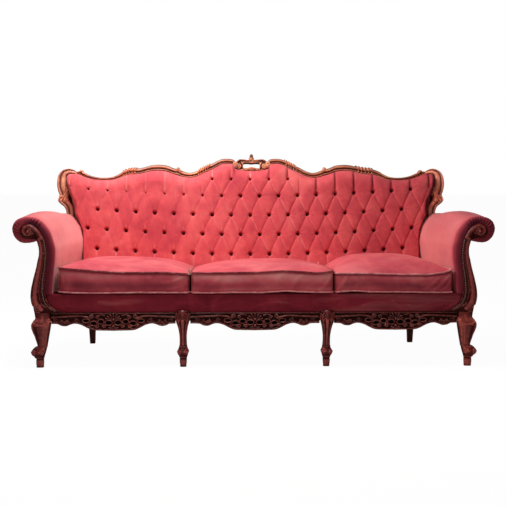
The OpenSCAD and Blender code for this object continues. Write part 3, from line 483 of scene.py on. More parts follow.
# %% Inside materials
def speckled(name, stops, spot_size, roughness, relief, stretch=None, metal=0.0, specular=0.5):
    """Plain finish whose colour and fine relief (strength, depth) follow one noise."""
    mat, nt, bsdf = new_material(name)
    spots = noise(nt, where(nt, stretch), **spot_size)
    nt.links.new(ramp(nt, spots, stops), bsdf.inputs["Base Color"])
    if relief:
        bump(nt, bsdf, spots, *relief)
    for socket, value in (("Roughness", roughness), ("Metallic", metal), ("Specular IOR Level", specular)):
        bsdf.inputs[socket].default_value = value
    return mat


def woven(name, thread, ground, scale):
    """Plain weave: two sets of sine bands at right angles, the higher of the two is the thread."""
    mat, nt, bsdf = new_material(name)
    both = add(nt, "ShaderNodeMath", operation="MAXIMUM")
    for k, axis in enumerate("XY"):
        w = add(nt, "ShaderNodeTexWave", wave_type="BANDS", bands_direction=axis, Scale=scale, Distortion=0.6)
        nt.links.new(where(nt), w.inputs["Vector"])
        nt.links.new(w.outputs["Fac"], both.inputs[k])
    nt.links.new(ramp(nt, both.outputs["Value"], [(0.2, ground), (0.8, thread)]), bsdf.inputs["Base Color"])
    bump(nt, bsdf, both.outputs["Value"], 0.5, 0.0008)
    bsdf.inputs["Roughness"].default_value = 0.9
    return mat


TIMBER = speckled("sawn timber", [(0.3, (0.38, 0.24, 0.12)), (0.55, (0.56, 0.39, 0.22)), (0.75, (0.66, 0.50, 0.32))],
                  dict(Scale=1.5, Detail=7.0, Roughness=0.6, Distortion=1.0), 0.75, (0.3, 0.001), (3.0, 40.0, 40.0))
STEEL = speckled("bare steel", [(0.35, (0.36, 0.34, 0.31)), (0.65, (0.60, 0.58, 0.55))],
                 dict(Scale=120.0, Detail=4.0), 0.42, None, metal=1.0)
BEAD = speckled("aged trim bead", [(0.35, (0.24, 0.14, 0.12)), (0.65, (0.38, 0.23, 0.19))],
                dict(Scale=300.0, Detail=3.0), 0.55, (0.2, 0.0003), specular=0.25)
HESSIAN = woven("jute hessian", (0.50, 0.38, 0.21), (0.26, 0.18, 0.09), 120.0)
LINING = woven("black cotton lining", (0.028, 0.026, 0.026), (0.008, 0.008, 0.008), 260.0)
print("inside materials made")

# %% [markdown]
# ## Dressing the solids
# A CAD solid whose shape is right stays as it is and only gets its finish, by the slot that its
# record names. Five rails whose faces show behind the covers are stained like the show wood.

# %% Dress the CAD nodes
SLOT_FINISH = {"carved_wood": PLAIN_WOOD, "frame_timber": TIMBER, "velvet": ROSE, "hessian": HESSIAN,
               "black_cotton": LINING, "steel": STEEL}
STAINED = ("seat_rear_rail", "back_stile_left", "back_stile_right", "arm_top_rail_left", "arm_top_rail_right")
slots = {s["node"]: s["material_slot"] for s in frame["record"]["subparts"]}
for node, obj in frame["nodes"].items():
    for slot in obj.material_slots:
        slot.material = PLAIN_WOOD if node in STAINED else SLOT_FINISH[slots[node]]
print("CAD nodes dressed:", len(slots))

# %% [markdown]
# ## Camera
# The camera stands where the photographer did: 4.5 m in front of the feet and a little left of the
# middle, with a long lens. Its focal length was fitted in pixels of the 506-pixel photograph and is
# turned into millimetres on a 36 mm film.

# %% Camera
FOCAL_PIXELS, PHOTO_PIXELS, FILM = 955.8, 506, 36
cam_data = bpy.data.cameras.new("camera")
cam_data.lens = FOCAL_PIXELS / PHOTO_PIXELS * FILM
cam_data.clip_end = 200
camera = bpy.data.objects.new("camera", cam_data)
scene.collection.objects.link(camera)
camera.location = (-0.114, -4.5 - MIDDLE_Y / 1000, 0.892)
camera.rotation_euler = (math.radians(90 - 4.48), 0, math.radians(-1.34))
scene.camera = camera
scene.view_settings.view_transform = "Standard"
scene.view_settings.look = "None"
print("camera lens", round(cam_data.lens, 1), "mm")

# %% [markdown]
# ## Lights
# A big soft light hangs above the front edge, so the tops of the cushions glow and the fronts under
# them fall into shade. A weaker one in front and to the left opens up the carving.

# %% Lights
def soft_light(name, place, aim, size, watts):
    """Rectangular soft light at a place, turned so that its face looks at `aim`."""
    data = bpy.data.lights.new(name, "AREA")
    data.shape = "RECTANGLE"
    data.size, data.size_y = size
    data.energy = watts
    obj = bpy.data.objects.new(name, data)
    scene.collection.objects.link(obj)
    obj.location = place
    obj.rotation_euler = Vector(np.array(aim, float) - np.array(place, float)).to_track_quat("-Z", "Y").to_euler()
    obj.visible_camera = False


soft_light("overhead", (-0.6, -0.22, 2.15), (-0.1, 0.05, 0.4), (2.0, 0.7), 50)
soft_light("front fill", (-1.6, -4.2, 1.7), (0, 0, 0.5), (2.5, 2.0), 7.5)
print("lights: 2")

# %% [markdown]
# ## White studio
# The camera sees pure white round the sofa, while the light that the white sends back is weak and
# a little warm. Whether a ray comes straight from the camera picks between the two.

# %% World
world = bpy.data.worlds.new("studio")
scene.world = world
world.use_nodes = True
wn = world.node_tree
for n in list(wn.nodes):
    wn.nodes.remove(n)
seen = add(wn, "ShaderNodeBackground", Color=(1, 1, 1, 1), Strength=1.0)
lit = add(wn, "ShaderNodeBackground", Color=(1, 0.98, 0.97, 1), Strength=0.15)
path, pick, end = (wn.nodes.new("ShaderNode" + kind) for kind in ("LightPath", "MixShader", "OutputWorld"))
wn.links.new(path.outputs["Is Camera Ray"], pick.inputs["Fac"])
wn.links.new(lit.outputs["Background"], pick.inputs[1])
wn.links.new(seen.outputs["Background"], pick.inputs[2])
wn.links.new(pick.outputs["Shader"], end.inputs["Surface"])
print("white studio made")

# %% [markdown]
# ## Floor
# The floor is a wide pale sheet that stays behind when the sofa is packed. To the camera nine
# tenths of it are a white glow, so it runs into the background and keeps only a soft shadow.

# %% Floor
floor_mat, floor_nt, floor_bsdf = new_material("pale floor")
floor_bsdf.inputs["Base Color"].default_value = (0.62, 0.61, 0.6, 1)
floor_bsdf.inputs["Roughness"].default_value = 0.9
floor_bsdf.inputs["Specular IOR Level"].default_value = 0.1
ray, blend = (floor_nt.nodes.new("ShaderNode" + kind) for kind in ("LightPath", "MixShader"))
glow = add(floor_nt, "ShaderNodeEmission", Strength=1.075)
share = add(floor_nt, "ShaderNodeMath", operation="MULTIPLY")
share.inputs[1].default_value = 0.9
floor_end = next(n for n in floor_nt.nodes if n.type == "OUTPUT_MATERIAL")
floor_nt.links.new(ray.outputs["Is Camera Ray"], share.inputs[0])
floor_nt.links.new(share.outputs["Value"], blend.inputs["Fac"])
floor_nt.links.new(floor_bsdf.outputs["BSDF"], blend.inputs[1])
floor_nt.links.new(glow.outputs["Emission"], blend.inputs[2])
floor_nt.links.new(blend.outputs["Shader"], floor_end.inputs["Surface"])
mesh = bpy.data.meshes.new("floor")
mesh.from_pydata([(-30, -12, 0), (30, -12, 0), (30, 48, 0), (-30, 48, 0)], [], [(0, 1, 2, 3)])
floor = bpy.data.objects.new("floor", mesh)
scene.collection.objects.link(floor)
mesh.materials.append(floor_mat)
print("floor laid")

# %% [markdown]
# ## Panels and solids from grids
# A panel is a grid of front points and the same grid pushed to a flat back. Cells that a mask leaves
# out become real holes, and every edge of what is left gets a wall.

# %% Panel helpers
def panel(name, front, back, body, material, relief=None, mask=None):
    """Closed panel from two grids of the same shape (rows, columns, 3), in metres."""
    nu, nv, _ = front.shape
    keep = np.ones((nu - 1, nv - 1), bool) if mask is None else mask
    quads = grid_faces(nu, nv).reshape(nu - 1, nv - 1, 4)[keep]
    n = nu * nv
    edges = np.concatenate([quads[:, [k, (k + 1) % 4]] for k in range(4)])
    code = edges[:, 0].astype(np.int64) * n + edges[:, 1]
    back_code = edges[:, 1].astype(np.int64) * n + edges[:, 0]
    rim = edges[~np.isin(code, back_code)]
    walls = joined(rim[:, 0], rim[:, 1], rim[:, 1] + n, rim[:, 0] + n)[:, ::-1]
    faces = np.concatenate([quads, quads[:, ::-1] + n, walls])
    verts = np.concatenate([front.reshape(-1, 3), back.reshape(-1, 3)])
    used = np.unique(faces)
    index = np.full(len(verts), -1)
    index[used] = np.arange(len(used))
    obj = mesh_piece(name, verts[used], index[faces], body, material)
    if relief is not None:
        both = np.concatenate([relief.ravel(), np.zeros(n)])
        set_attr(obj, "relief", both[used])
    outward(obj)
    return obj


def many(name, shapes, body, material):
    """One mesh from many (verts, faces) shapes: each one's faces count on from the last vertex."""
    verts, faces, start = [], [], 0
    for v, f in shapes:
        verts.append(v)
        faces.extend([tuple(i + start for i in q) for q in f])
        start += len(v)
    obj = mesh_piece(name, np.concatenate(verts), faces, body, material)
    outward(obj)
    return obj


def dome_shape(centre, axis, right, r, h, sides=14, rings=4):
    """A button: rings of a half ellipse, radius r cos a and height h sin a, closed by a flat back."""
    up = np.cross(axis, right)
    a = np.linspace(0, np.pi / 2, rings + 1)[:-1]
    b = np.linspace(0, 2 * np.pi, sides, endpoint=False)
    v = (centre + np.cos(a)[:, None, None] * r * (np.cos(b)[None, :, None] * right + np.sin(b)[None, :, None] * up)
         + np.sin(a)[:, None, None] * h * axis)
    v = np.concatenate([v.reshape(-1, 3), [centre + h * axis]])
    f = [tuple(q) for q in grid_faces(rings, sides, False, True)]
    top = len(v) - 1
    f += [((rings - 1) * sides + k, (rings - 1) * sides + (k + 1) % sides, top) for k in range(sides)]
    f += [tuple(range(sides))[::-1]]
    return v, f


print("panel helpers ready")

# %% [markdown]
# ## The outlines of the crest and posts
# These are the joiner's lines again. Each row pairs a point of the outer edge with one of the inner
# edge: x, height, x, height. The crest's heights count from the crest line, 600 mm up the back. The
# upholstery fits against these edges, so they come first.

# %% Crest and post outlines
CREST_PAIRS = np.array([
    [84, 60, 88, 14], [100, 75, 104, 40], [124, 79.5, 126, 43], [150, 79, 148, 43], [172, 74, 166, 39],
    [200, 60, 192, 25], [230, 45, 222, 9], [266, 28, 258, -7], [300, 10, 294, -25], [335, 1, 334, -33],
    [368, 8, 374, -28], [392, 20, 400, -20], [425, 27, 430, -11], [455, 40, 458, 0], [486, 45, 487, 5],
    [518, 46, 518, 6], [550, 42, 548, 3], [584, 32, 580, -5], [620, 25, 618, -14], [660, 22, 656, -15],
    [696, 10, 690, -24], [728, -9, 722, -38], [760, -22, 757, -46], [800, -26, 800, -47],
    [840, -23, 842, -45], [875, -14, 879, -37], [905, -1, 911, -25], [928, 8, 932, -16], [948, 9, 950, -12]], float)
POST_PAIRS = np.array([
    [950, 605, 951, 585], [965, 616, 962, 590], [990, 624, 984, 590], [1013, 621, 995, 586],
    [1034, 610, 1003, 578], [1050, 588, 1005, 566], [1056, 562, 1004, 550], [1057, 530, 1001, 528],
    [1051, 500, 994, 504], [1043, 478, 986, 482], [1048, 460, 978, 462], [1050, 446, 972, 448],
    [1036, 430, 964, 432], [1020, 418, 957, 418], [1008, 398, 953, 400], [1002, 372, 954, 376],
    [1000, 345, 958, 352], [1000, 310, 962, 320], [1000, 260, 963, 262], [1000, 160, 963, 160],
    [1000, 60, 963, 60], [1000, 0, 963, 0]], float)
CREST_PAIRS[:, [1, 3]] += CREST
POST_PAIRS[5:, 2] -= 5.0
PLATE_HALF = 88
crest_low = smooth(CREST_PAIRS[:, 2:], 4)


def crest_under(x):
    """Height of the crest's lower edge at a distance x from the middle."""
    a = np.abs(x)
    side = np.interp(a, crest_low[:, 0], crest_low[:, 1])
    return np.where(a < PLATE_HALF, 603 + 11 * (a / PLATE_HALF) ** 2, side)


print("crest outline:", len(crest_low), "points")

# %% [markdown]
# ## The outline of the back's padding
# The padding fills the frame between the posts, up to the crest. Its rows of buttons dip a little
# towards the middle, as a row sewn by eye against the wavy crest does.

# %% Padding outline
def row_height(x, k):
    """How far up the back button row k sits: the rows rise with the square of x."""
    return 144 + ROW * k + 33 * (x / 825) ** 2


def pad_half(s):
    """Half the padding's width at the height s, read off the posts' inner edge."""
    return np.interp(s, [0, 235, 275, 305, 335, 360, 400, 430, 462, 500, 530, 560, 700],
                     [893, 893, 899, 912, 930, 947, 949, 955, 972, 988, 997, 1000, 1000])


def pad_top(x):
    """Top of the padding: the crest's lower edge, then the ear's."""
    a = np.abs(x)
    return np.where(a < 949, crest_under(x), CREST + np.interp(a, [949, 984, 1001], [-12, -12, -26]))


print("padding reaches", round(float(pad_top(0.0))), "mm up the back")

# %% [markdown]
# ## The outlines of an arm
# The facing's edge runs up the inside of the stem, round the volute and down the outside. The arm's
# padding pairs each point of the velvet's outer face with the wood's edge that it meets.

# %% Arm outlines
FACING_EDGE = smooth([
    (877, 262.8), (900, 266.5), (922, 272), (950, 290), (972, 318), (983, 365.6), (982, 397.2), (979, 435.1),
    (973, 479.4), (969.6, 518.9), (971, 561.5), (977, 598), (985, 619), (997, 641), (1014, 664),
    (1033, 677), (1055, 681), (1077, 675), (1092, 659), (1095, 638), (1083, 619), (1063, 611), (1040, 610),
    (1017, 606), (1008, 567.8), (1007.5, 536.2), (1014, 507.8), (1024, 465.1), (1036, 420.9), (1046.5, 375.1),
    (1050, 334), (1044, 301), (1031, 283), (1032, 272), (1024, 263)], 6)
PAD_PAIRS = smooth([
    (954.5, 349.1, 980, 349.1), (951, 384.6, 982, 384.6), (947.4, 435, 978.5, 435), (940, 495, 970.8, 495),
    (937, 523.6, 969.2, 523.6), (936.3, 564.7, 971, 564.7), (945, 604, 977.5, 600), (956, 638, 985, 619.5),
    (973, 665, 996.5, 641), (996, 691.5, 1013.5, 664), (1019, 706.4, 1033, 677.4), (1043, 712, 1050, 681.4),
    (1072, 711.5, 1067, 679.5), (1101, 704, 1082, 672), (1123, 686, 1092, 660), (1133, 656, 1095.4, 643),
    (1125, 623, 1092, 630), (1107, 601, 1082, 618), (1083, 590, 1066, 611), (1045, 592, 1040, 609.6),
    (1018.5, 600.5, 1017.5, 605.5)], 6)
print("arm outlines:", len(FACING_EDGE), "and", len(PAD_PAIRS), "points")

# %% [markdown]
# ## The buttoned back
# The padding is one sheet of velvet pulled down at 75 buttons. The buttons stand in rows, each
# shifted by half a step, so two sets of slanting creases join them. A point is known by its row and
# by its distances p and q to the nearest crease of each set. Near a button the offsets are then
# dx = P (p + q) / 2 and ds = H (p - q).

# %% Button lattice
LATTICE_X = -9.0


def crest_rise(x):
    """How far the five short buttons under the crest sit above the top row."""
    return np.minimum(90.0, (pad_top(x) - row_height(x, 3)) * 2 / 3)


def lattice(x, s):
    """Row number r, signed distances p and q to the slanting creases in lattice steps, and how far
    past the last row the point is. Past it the creases run straight up or down."""
    x = x - LATTICE_X
    r = (s - row_height(x, 0)) / ROW
    top = np.where(np.abs(x) < 2.55 * PITCH, 4.0, 3.0)
    r = np.where((top > 3.5) & (r > 3), 3 + (s - row_height(x, 3)) / crest_rise(x), r)
    rr = np.clip(r, 0, top)
    p = x / PITCH + rr / 2
    q = x / PITCH - rr / 2
    return r, p - np.round(p), q - np.round(q), np.where(r < 0, -r, np.maximum(r - top, 0))


def button_reach(x, s):
    """Offsets (dx, ds) from the nearest button and how wide its pit opens there. At the top left
    the velvet closes over the buttons."""
    r, p, q, away = lattice(x, s)
    dx = (p + q) / 2 * PITCH
    ds = np.where(away > 0, away * ROW, (p - q) * ROW)
    c, row = x - dx - LATTICE_X, np.round(np.clip(r, 0, 4))
    open_wide = np.where(row == 3, 0.58 + 0.42 * ease((c + 330) / 330) - 0.28 * bell(c + 600, 150), 1.0)
    open_wide = np.where(row == 4, 0.72, open_wide)
    return dx, ds, np.where(np.abs(c) > 8.7 * PITCH, 0.0, open_wide)


print("lattice of", PITCH, "by", ROW, "mm")

# %% [markdown]
# ## How deep the velvet lies
# Between the creases each diamond swells as (1 - (1 - 2p)^5)(1 - (1 - 2q)^5), and at each button it
# drops into a round pit with small folds about it. Outside the lattice plain pleats run out to the
# edges. The padding is old: on the left the creases have nearly gone. It starts `PAD_FOOT` mm up the
# back, and its edges stand `PAD_EDGE` mm off the frame.

# %% Depth of the padding
PAD_FOOT, PAD_EDGE = 19, 24


def rays(dx, ds, seed):
    """Small folds that fan out from each button."""
    a = np.arctan2(ds, dx)
    return np.cos(9 * a + seed) + 0.6 * np.cos(5 * a - 2 * seed)


def pad_depth(x, s):
    """How far the velvet stands in front of the back's frame. It is nearly flat between thin
    creases, with a deep pit at each button; the creases are sharper right of the middle."""
    r, p, q, away = lattice(x, s)
    dx, ds, wide = button_reach(x, s)
    p, q = np.abs(p), np.abs(q)
    plain = (away > 0) | (r < 0)
    shape = lambda d: 1 - (1 - 2 * d) ** 5
    sharp = 0.10 + 0.90 * ease((x + 430) / 420)
    fold = np.minimum(np.exp(-p / 0.020) + np.exp(-q / 0.020), 1)
    drop = 4.6 * (1 - shape(p) * shape(q)) * (0.35 + 0.65 * sharp) + 1.5 * fold * sharp
    fade = np.exp(-away / 0.5)
    side = np.where(r < 0, 0.4, 0.30 + 0.75 * ease((x + 120) / 240))
    pleat = 6.5 * bell(p * PITCH, 7) + 5.0 * np.exp(-p * PITCH / 2.8)
    pleat = pleat * (0.6 + 0.4 * fade) * side
    drop = np.where(plain, 6.5 * (1 - shape(p) ** 2) * fade + pleat, drop)
    dist = np.hypot(dx, ds)
    pit = 21 * bell(dist, 10.5 * wide + 0.1, 4) + 7 * np.exp(-dist / 17) * np.minimum(wide, 1)
    star = 1.3 * rays(dx, ds, 1.3 * np.round(x / PITCH) + r * 0.2)
    star = star * np.exp(-dist / 20) * np.clip(dist / 9 - 0.8, 0, 1)
    uneven = 2.2 * wrinkle(x, s, 3, 90.0, 3) * np.clip(dist / 30, 0, 1)
    return 80 - drop - pit - star * np.clip(sharp, 0.3, 1) + uneven


def back_grid(nu=790, nv=236):
    """Grid of the padding's face: x, height s and depth. Rows follow the outline, and the depth
    falls along every edge as a quarter circle, sqrt(1 - (1 - d / reach)^2)."""
    v = np.linspace(0, 1, nv)[None, :]
    u = np.linspace(-1, 1, nu)[:, None]
    s = PAD_FOOT + (560 - PAD_FOOT) * v + 0 * u
    for _ in range(4):
        low = ease((345 - s) / 60)
        x = u * (pad_half(s) - 0.4 + 6 * low)
        s = PAD_FOOT + (pad_top(x) - PAD_FOOT - 0.6) * v
    depth = pad_depth(x, s)
    edge = pad_half(s) + 6 * low - np.abs(x)
    swell_in = lambda d, reach: np.sqrt(1 - (1 - np.clip(d / reach, 0, 1)) ** 2)
    share = swell_in(pad_top(x) - s, 75.0) * swell_in(edge * (1 + 2 * low), np.where(x < 0, 17.0, 30.0))
    share = share * swell_in(s - PAD_FOOT, 35.0)
    return x, s, PAD_EDGE + (depth - PAD_EDGE) * share


print("depth in a diamond's middle", round(float(pad_depth(np.array([PITCH / 2]), np.array([300.0]))[0])), "mm")

# %% [markdown]
# ## The back's padding
# The face is one fine grid. Its rear is never seen, so it is one long face behind each column of
# the grid, which keeps the mesh closed and light.

# %% Back padding
def shallow_panel(name, front, material, rear):
    """A grid closed by a plain rear: one long face behind each column and a fan at each end."""
    nu, nv, _ = front.shape
    n = nu * nv
    k = np.arange(nu - 1)
    low, high = n + k, n + nu + k
    quads = np.concatenate([grid_faces(nu, nv)[:, ::-1], joined(low, low + 1, high + 1, high)[:, ::-1],
                            joined(k * nv, (k + 1) * nv, low + 1, low)[:, ::-1],
                            joined(k * nv + nv - 1, (k + 1) * nv + nv - 1, high + 1, high)]).tolist()
    for end, a, b in ((0, n, n + nu), (nu - 1, n + nu - 1, n + 2 * nu - 1)):
        side = [end * nv + j for j in range(nv)]
        mid = nv // 2
        fans = [[a, side[j], side[j + 1]] for j in range(mid)] + [[a, side[mid], b]]
        quads += fans + [[b, side[j], side[j + 1]] for j in range(mid, nv - 1)]
    verts = np.concatenate([front.reshape(-1, 3), rear[:, 0], rear[:, 1]])
    obj = mesh_piece(name, verts, quads, "frame", material)
    outward(obj)
    return obj


bx, bs, bd = back_grid()
rear_x, rear_s = bx[:, [0, -1]], bs[:, [0, -1]]
BACK = shallow_panel("back_padding", metres(lean(bx, -bd, bs)), ROSE_BACK, metres(lean(rear_x, -3.0, rear_s)))
print("back padding:", len(BACK.data.polygons), "faces")

# %% [markdown]
# ## Painted light and shade on the back
# The pile is painted pale along the creases that stand out on the left, a painted highlight, and
# dark in those that are tight on the right, painted shade. Past the rows the pleats are painted dark
# on the right and pale on the left and below. Painted shade also fills each pit, darkens the right side
# and the gap at the right edge; a painted highlight stands above each button and small rays of both
# fan round it. Soft noise adds the pile's own patches.

# %% Painted light and shade on the back
lr, lp, lq, away = lattice(bx, bs)
dx, ds, wide = button_reach(bx, bs)
hole = np.hypot(dx, ds)
sharp = 0.08 + 0.92 * ease((bx + 430) / 420)
past = (away > 0) | (lr < 0)
right = ease((bx + 60) / 260)
# Painted highlight along one set of creases, and painted shade along the other on the right.
pale_line, dark_line = np.exp(-np.abs(lp) * PITCH / 2.4), np.exp(-np.abs(lq) * PITCH / 2.4)
patchy = np.clip(0.75 + 0.7 * wrinkle(bx, bs, 21, 45.0, 2), 0.15, 1.3)
broken = np.clip(0.55 + 1.1 * wrinkle(bx, bs, 23, 38.0, 2), 0.05, 1.2)
near_dark = (0.32 - 1.05 * right) * dark_line * np.clip(1.15 - hole / 40, 0.12, 1) * broken
crease = (0.5 * pale_line * patchy + near_dark) * sharp
pleat_line = np.exp(-np.abs(lp) * PITCH / 3.0)
# Pleats past the rows: painted shade on the right, painted highlight on the left and below.
above = np.where(right > 0.5, -0.95 * pleat_line, 0.30 * pleat_line * patchy)
below = 0.25 * pleat_line
wear_and_shade = np.where(past, np.where(lr < 0, below, above), crease) * np.clip(hole / 40, 0.3, 1)
# Painted highlight above each button, and painted light and shade in rays round it.
wear_and_shade += 0.34 * bell(dx, 4.5) * bell(ds - 24, 13) * (1 - 0.6 * right) * patchy
wear_and_shade += 0.13 * rays(dx, ds, 1.3 * np.round(bx / PITCH) + lr * 0.2) * np.exp(-hole / 24) * (0.4 + 0.6 * sharp)
# Painted shade in each pit.
wear_and_shade -= bell(hole, 8.8 * wide + 0.1, 6) * np.minimum(wide * 3, 1)
wear_and_shade += 0.09 * wrinkle(bx, bs, 15, 60.0, 4) + 0.07 * wrinkle(bx * 4, bs, 16, 20.0, 3)
# Painted shade over the right side, and in the gap by the right post.
wear_and_shade -= 0.20 * ease((bx - 150) / 650)
right_gap = pad_half(bs) + 6 * ease((345 - bs) / 60) - bx
wear_and_shade -= 0.85 * bell(right_gap, 15, 4) * ease((bs - 330) / 60)
set_attr(BACK, "wear_and_shade", np.concatenate([wear_and_shade.ravel(), np.zeros(rear_x.size)]))
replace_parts(BACK, "back_pad")
print("painted light and wear from", round(float(wear_and_shade.min()), 2), "to", round(float(wear_and_shade.max()), 2))

# %% [markdown]
# ## Buttons
# Each button is a small velvet dome that sits at the bottom of its pit; its velvet is painted nearly
# black, the painted shade of the pit. Four rows cross the back, and five more sit close under the crest.

# %% Buttons
button_places = [((m + 0.5 * (k % 2)) * PITCH, k) for k in range(4) for m in range(-9, 10)]
button_places = [(x, row_height(x, k)) for x, k in button_places if abs(x) < 8.6 * PITCH]
button_places += [(x, float(row_height(x, 3) + crest_rise(np.array(x)))) for x in PITCH * np.arange(-2, 3)]
axis = np.array([0, -math.cos(RAKE), math.sin(RAKE)])
shapes = []
for x, s in button_places:
    depth = float(pad_depth(np.array([x + LATTICE_X]), np.array([float(s)]))[0])
    centre = metres(lean(x + LATTICE_X, -(depth + 1.0), s))
    shapes.append(dome_shape(centre, axis, np.array([1.0, 0, 0]), 0.0095, 0.0060))
BUTTONS = many("covered_buttons", shapes, "frame", ROSE_BUTTON_IN_PAINTED_SHADE)
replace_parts(BUTTONS, "back_buttons")
print("buttons:", len(shapes))

# %% [markdown]
# ## The arms
# The velvet of an arm starts at the carved facing, turns over a soft edge and runs back over the
# stuffed roll. Round the volute it is gathered: small folds that fan out from the wood and die away
# on the roll.

# %% Arm shape
ARM_FRONT = -43.0
ARM_EDGE = 23.0


def swell(t):
    """Behind the facing the roll swells by 16 sin(1.25 pi t) and sinks again by 10 t^3, in mm."""
    return 16 * np.sin(np.pi * np.clip(1.25 * t, 0, 1)) - 10 * t ** 3


def raised(x, z, t):
    """Moves the upper part of the roll up and outwards by the swell at t."""
    w = np.clip((z - ROLL_Z + 70) / 132, 0, 1)
    side = w * np.clip((ROLL_X - x) / 90, -1, 1)
    return x - 0.35 * swell(t) * side, z + swell(t) * w * w * (3 - 2 * w)


def arm_end(z):
    """Where the arm meets the leaning back at the height z."""
    return SEAT_DEPTH - 21 / math.cos(RAKE) + (z - RAIL_TOP) * math.tan(RAKE)


print("arm is", round(float(arm_end(ARM_TOP))), "mm long on top")

# %% [markdown]
# ## Painted light and wear on an arm
# Painted shade lies in a band next to the wood, and painted highlight and shade along the folds round
# the volute; behind them the pile is rubbed in patches. The inside of the left arm is painted paler, a
# painted highlight; on the right arm the band is painted a little lighter and the roll darker, painted
# shade, and the top of each roll near its front takes painted shade. The inside of the left arm has
# four nicks: each is a place round the section, a depth along the arm, a height and a width.

# %% Painted light and wear of an arm
NICKS = ((95, 300, 26, 6), (60, 420, 34, 5), (140, 150, 10, 9), (40, 250, 12, 6))


def arm_wear_and_shade(side, length, y, into, turn, fold):
    """Painted shade in a band next to the wood, painted highlight and shade along the folds, and rubbed
    pile and painted highlight behind them. `length` is the way round the section, and `into` counts from
    the wood: 1 at the front edge, then one more every 45 mm."""
    band = 1.9 - 0.6 * turn + 0.5 * wrinkle(length + 0 * into, into * 8, 61 + side, 60.0, 2)
    # Painted shade in the band next to the wood; painted highlight and shade on the folds.
    dark = (0.58 * ease((length - 380) / 90) - 0.93) * (1 - ease((into - 0.25) / band))
    dark = dark + np.where(fold > 0, 0.42 * fold, 0.22 * fold) * ease(into / 0.2) * ease((1.6 - into) / 0.7)
    rub_and_highlight = 0.16 * wrinkle(length + 0 * y, y * 0.25, 33 + side, 26.0, 4) * ease((y - 20) / 60)
    rub_and_highlight = rub_and_highlight + 0.12 * ease((y - 60) / 300)
    if side < 0:
        # Painted highlight on the inside of the left arm.
        rub_and_highlight = rub_and_highlight + 0.12 * ease((y - 10) / 70)
        for place, depth, tall, wide in NICKS:
            rub_and_highlight = rub_and_highlight - 0.8 * bell(length - place, tall, 4) * bell(y - depth, wide)
    else:
        # Right arm: band painted lighter, roll painted darker as shade.
        dark = 0.84 * dark - 0.17 * ease((length - 300) / 120)
    # Painted shade on the top of the roll near its front.
    front = 0.16 * ease((length - 330) / 60) * ease((40 - y) / 60)
    return dark + rub_and_highlight + 0.30 * ease((into - 0.5) / 1.1) - front


print("nicks in the left arm:", len(NICKS))

# %% [markdown]
# ## Velvet on an arm
# One grid covers the arm: a row for each step round its section and a column for each step from the
# wood, over the front edge, along the roll and home.

# %% Arm velvet
def arm_velvet(side, label, nv=230):
    """Covers one arm. Round the edge y = front + r (1 - sqrt(1 - q^2.2)), with q the share of the
    way from the wood's edge to the velvet's outer face."""
    pairs = even(PAD_PAIRS, nv)
    ox, oz, ix, iz = (pairs[:, k, None] for k in range(4))
    length = np.concatenate([[0], np.cumsum(np.hypot(*np.diff(pairs[:, :2], axis=0).T))])[:, None]
    turn = ease((length - 335) / 60) * ease((length.max() - length) / 40)
    uneven = 0.55 + 0.9 * wrinkle(length, 0 * length, 91 + side, 26.0, 2)
    fold = turn * uneven * (np.sin(2 * np.pi * length / 15.0 + 1.9 * np.sin(length / 23)) - 0.3)
    # front face and rounded edge
    a = np.sin(np.linspace(0, np.pi / 2, 24))[None]
    fx, fz = ix + (ox - ix) * a, iz + (oz - iz) * a
    front_y = (ARM_FRONT + ARM_EDGE * (1 - np.sqrt(np.maximum(1 - a ** 2.2, 0)))
               - 3.4 * fold * np.sin(np.pi * np.clip(a * 0.7 + 0.2, 0, 1)))
    # along the arm
    start = ARM_FRONT + ARM_EDGE
    end = arm_end(oz)
    by = start + (end - start) * np.linspace(0, 1, 81)[None, 1:] ** 1.15
    bx, bz = raised(ox + 0 * by, oz + 0 * by, np.clip(by / end, 0, 1))
    d = np.gradient(pairs[:, :2], axis=0)
    d /= np.linalg.norm(d, axis=1, keepdims=True)
    slack = 1.5 * wrinkle(length + 0 * by, by, 21 + side, 75.0, 4)
    slack = slack + 1.1 * wrinkle(length + 0 * by, by * 0.35, 5 + side, 22.0, 2)
    push = slack * ease((by + 40) / 40) + 2.6 * fold * np.exp(-(by - start) / 20)
    push = push - 2.2 * bell(by - 6, 10) * turn
    bx, bz = bx - d[:, 1, None] * push, bz + d[:, 0, None] * push
    # round the back end and home along the wood
    back_x = np.concatenate([ox + (ix - ox) * 0.5, ix], 1)
    back_z = np.concatenate([oz + (iz - oz) * 0.5, iz], 1)
    back_y = arm_end(back_z)
    home_y = back_y[:, 1:] + (-30 - back_y[:, 1:]) * np.array([[0.33, 0.66, 1.0]])
    x = np.concatenate([fx, bx, back_x, ix + 0 * home_y], 1)
    z = np.concatenate([fz, bz, back_z, iz + 0 * home_y], 1)
    y = np.concatenate([front_y, by, back_y, home_y], 1)
    p = splay(x, y, z)
    p[..., 0] *= side
    obj = skin("arm_velvet_" + label, metres(p), "frame", ROSE_ARM)
    into = np.concatenate([a + 0 * length, 1 + (by - start) / 45, np.full((nv, 5), 9.0)], 1)
    set_attr(obj, "wear_and_shade", arm_wear_and_shade(side, length, y, into, turn, fold))
    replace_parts(obj, "arm_pad_" + label, "arm_roll_" + label)


for side, label in SIDES:
    arm_velvet(side, label)
print("arm velvet made")

# %% [markdown]
# ## Seat cushions
# Each cushion is a box cushion: a top panel, a band and a bottom panel, sewn with piping. Seen from
# above it is a rounded rectangle whose outer side follows the splayed arm. A square grid on that
# plan makes both panels.

# %% Cushion plan
CUSHION_Y = (-42.0, 551.0)
BASE_Z = DECK_TOP + 0.5


def clear_x(y, margin):
    """Distance from the middle to an arm's inside at the depth y, less a margin."""
    return SEAT_HALF - margin - max(y, 0) * math.tan(SPLAY)


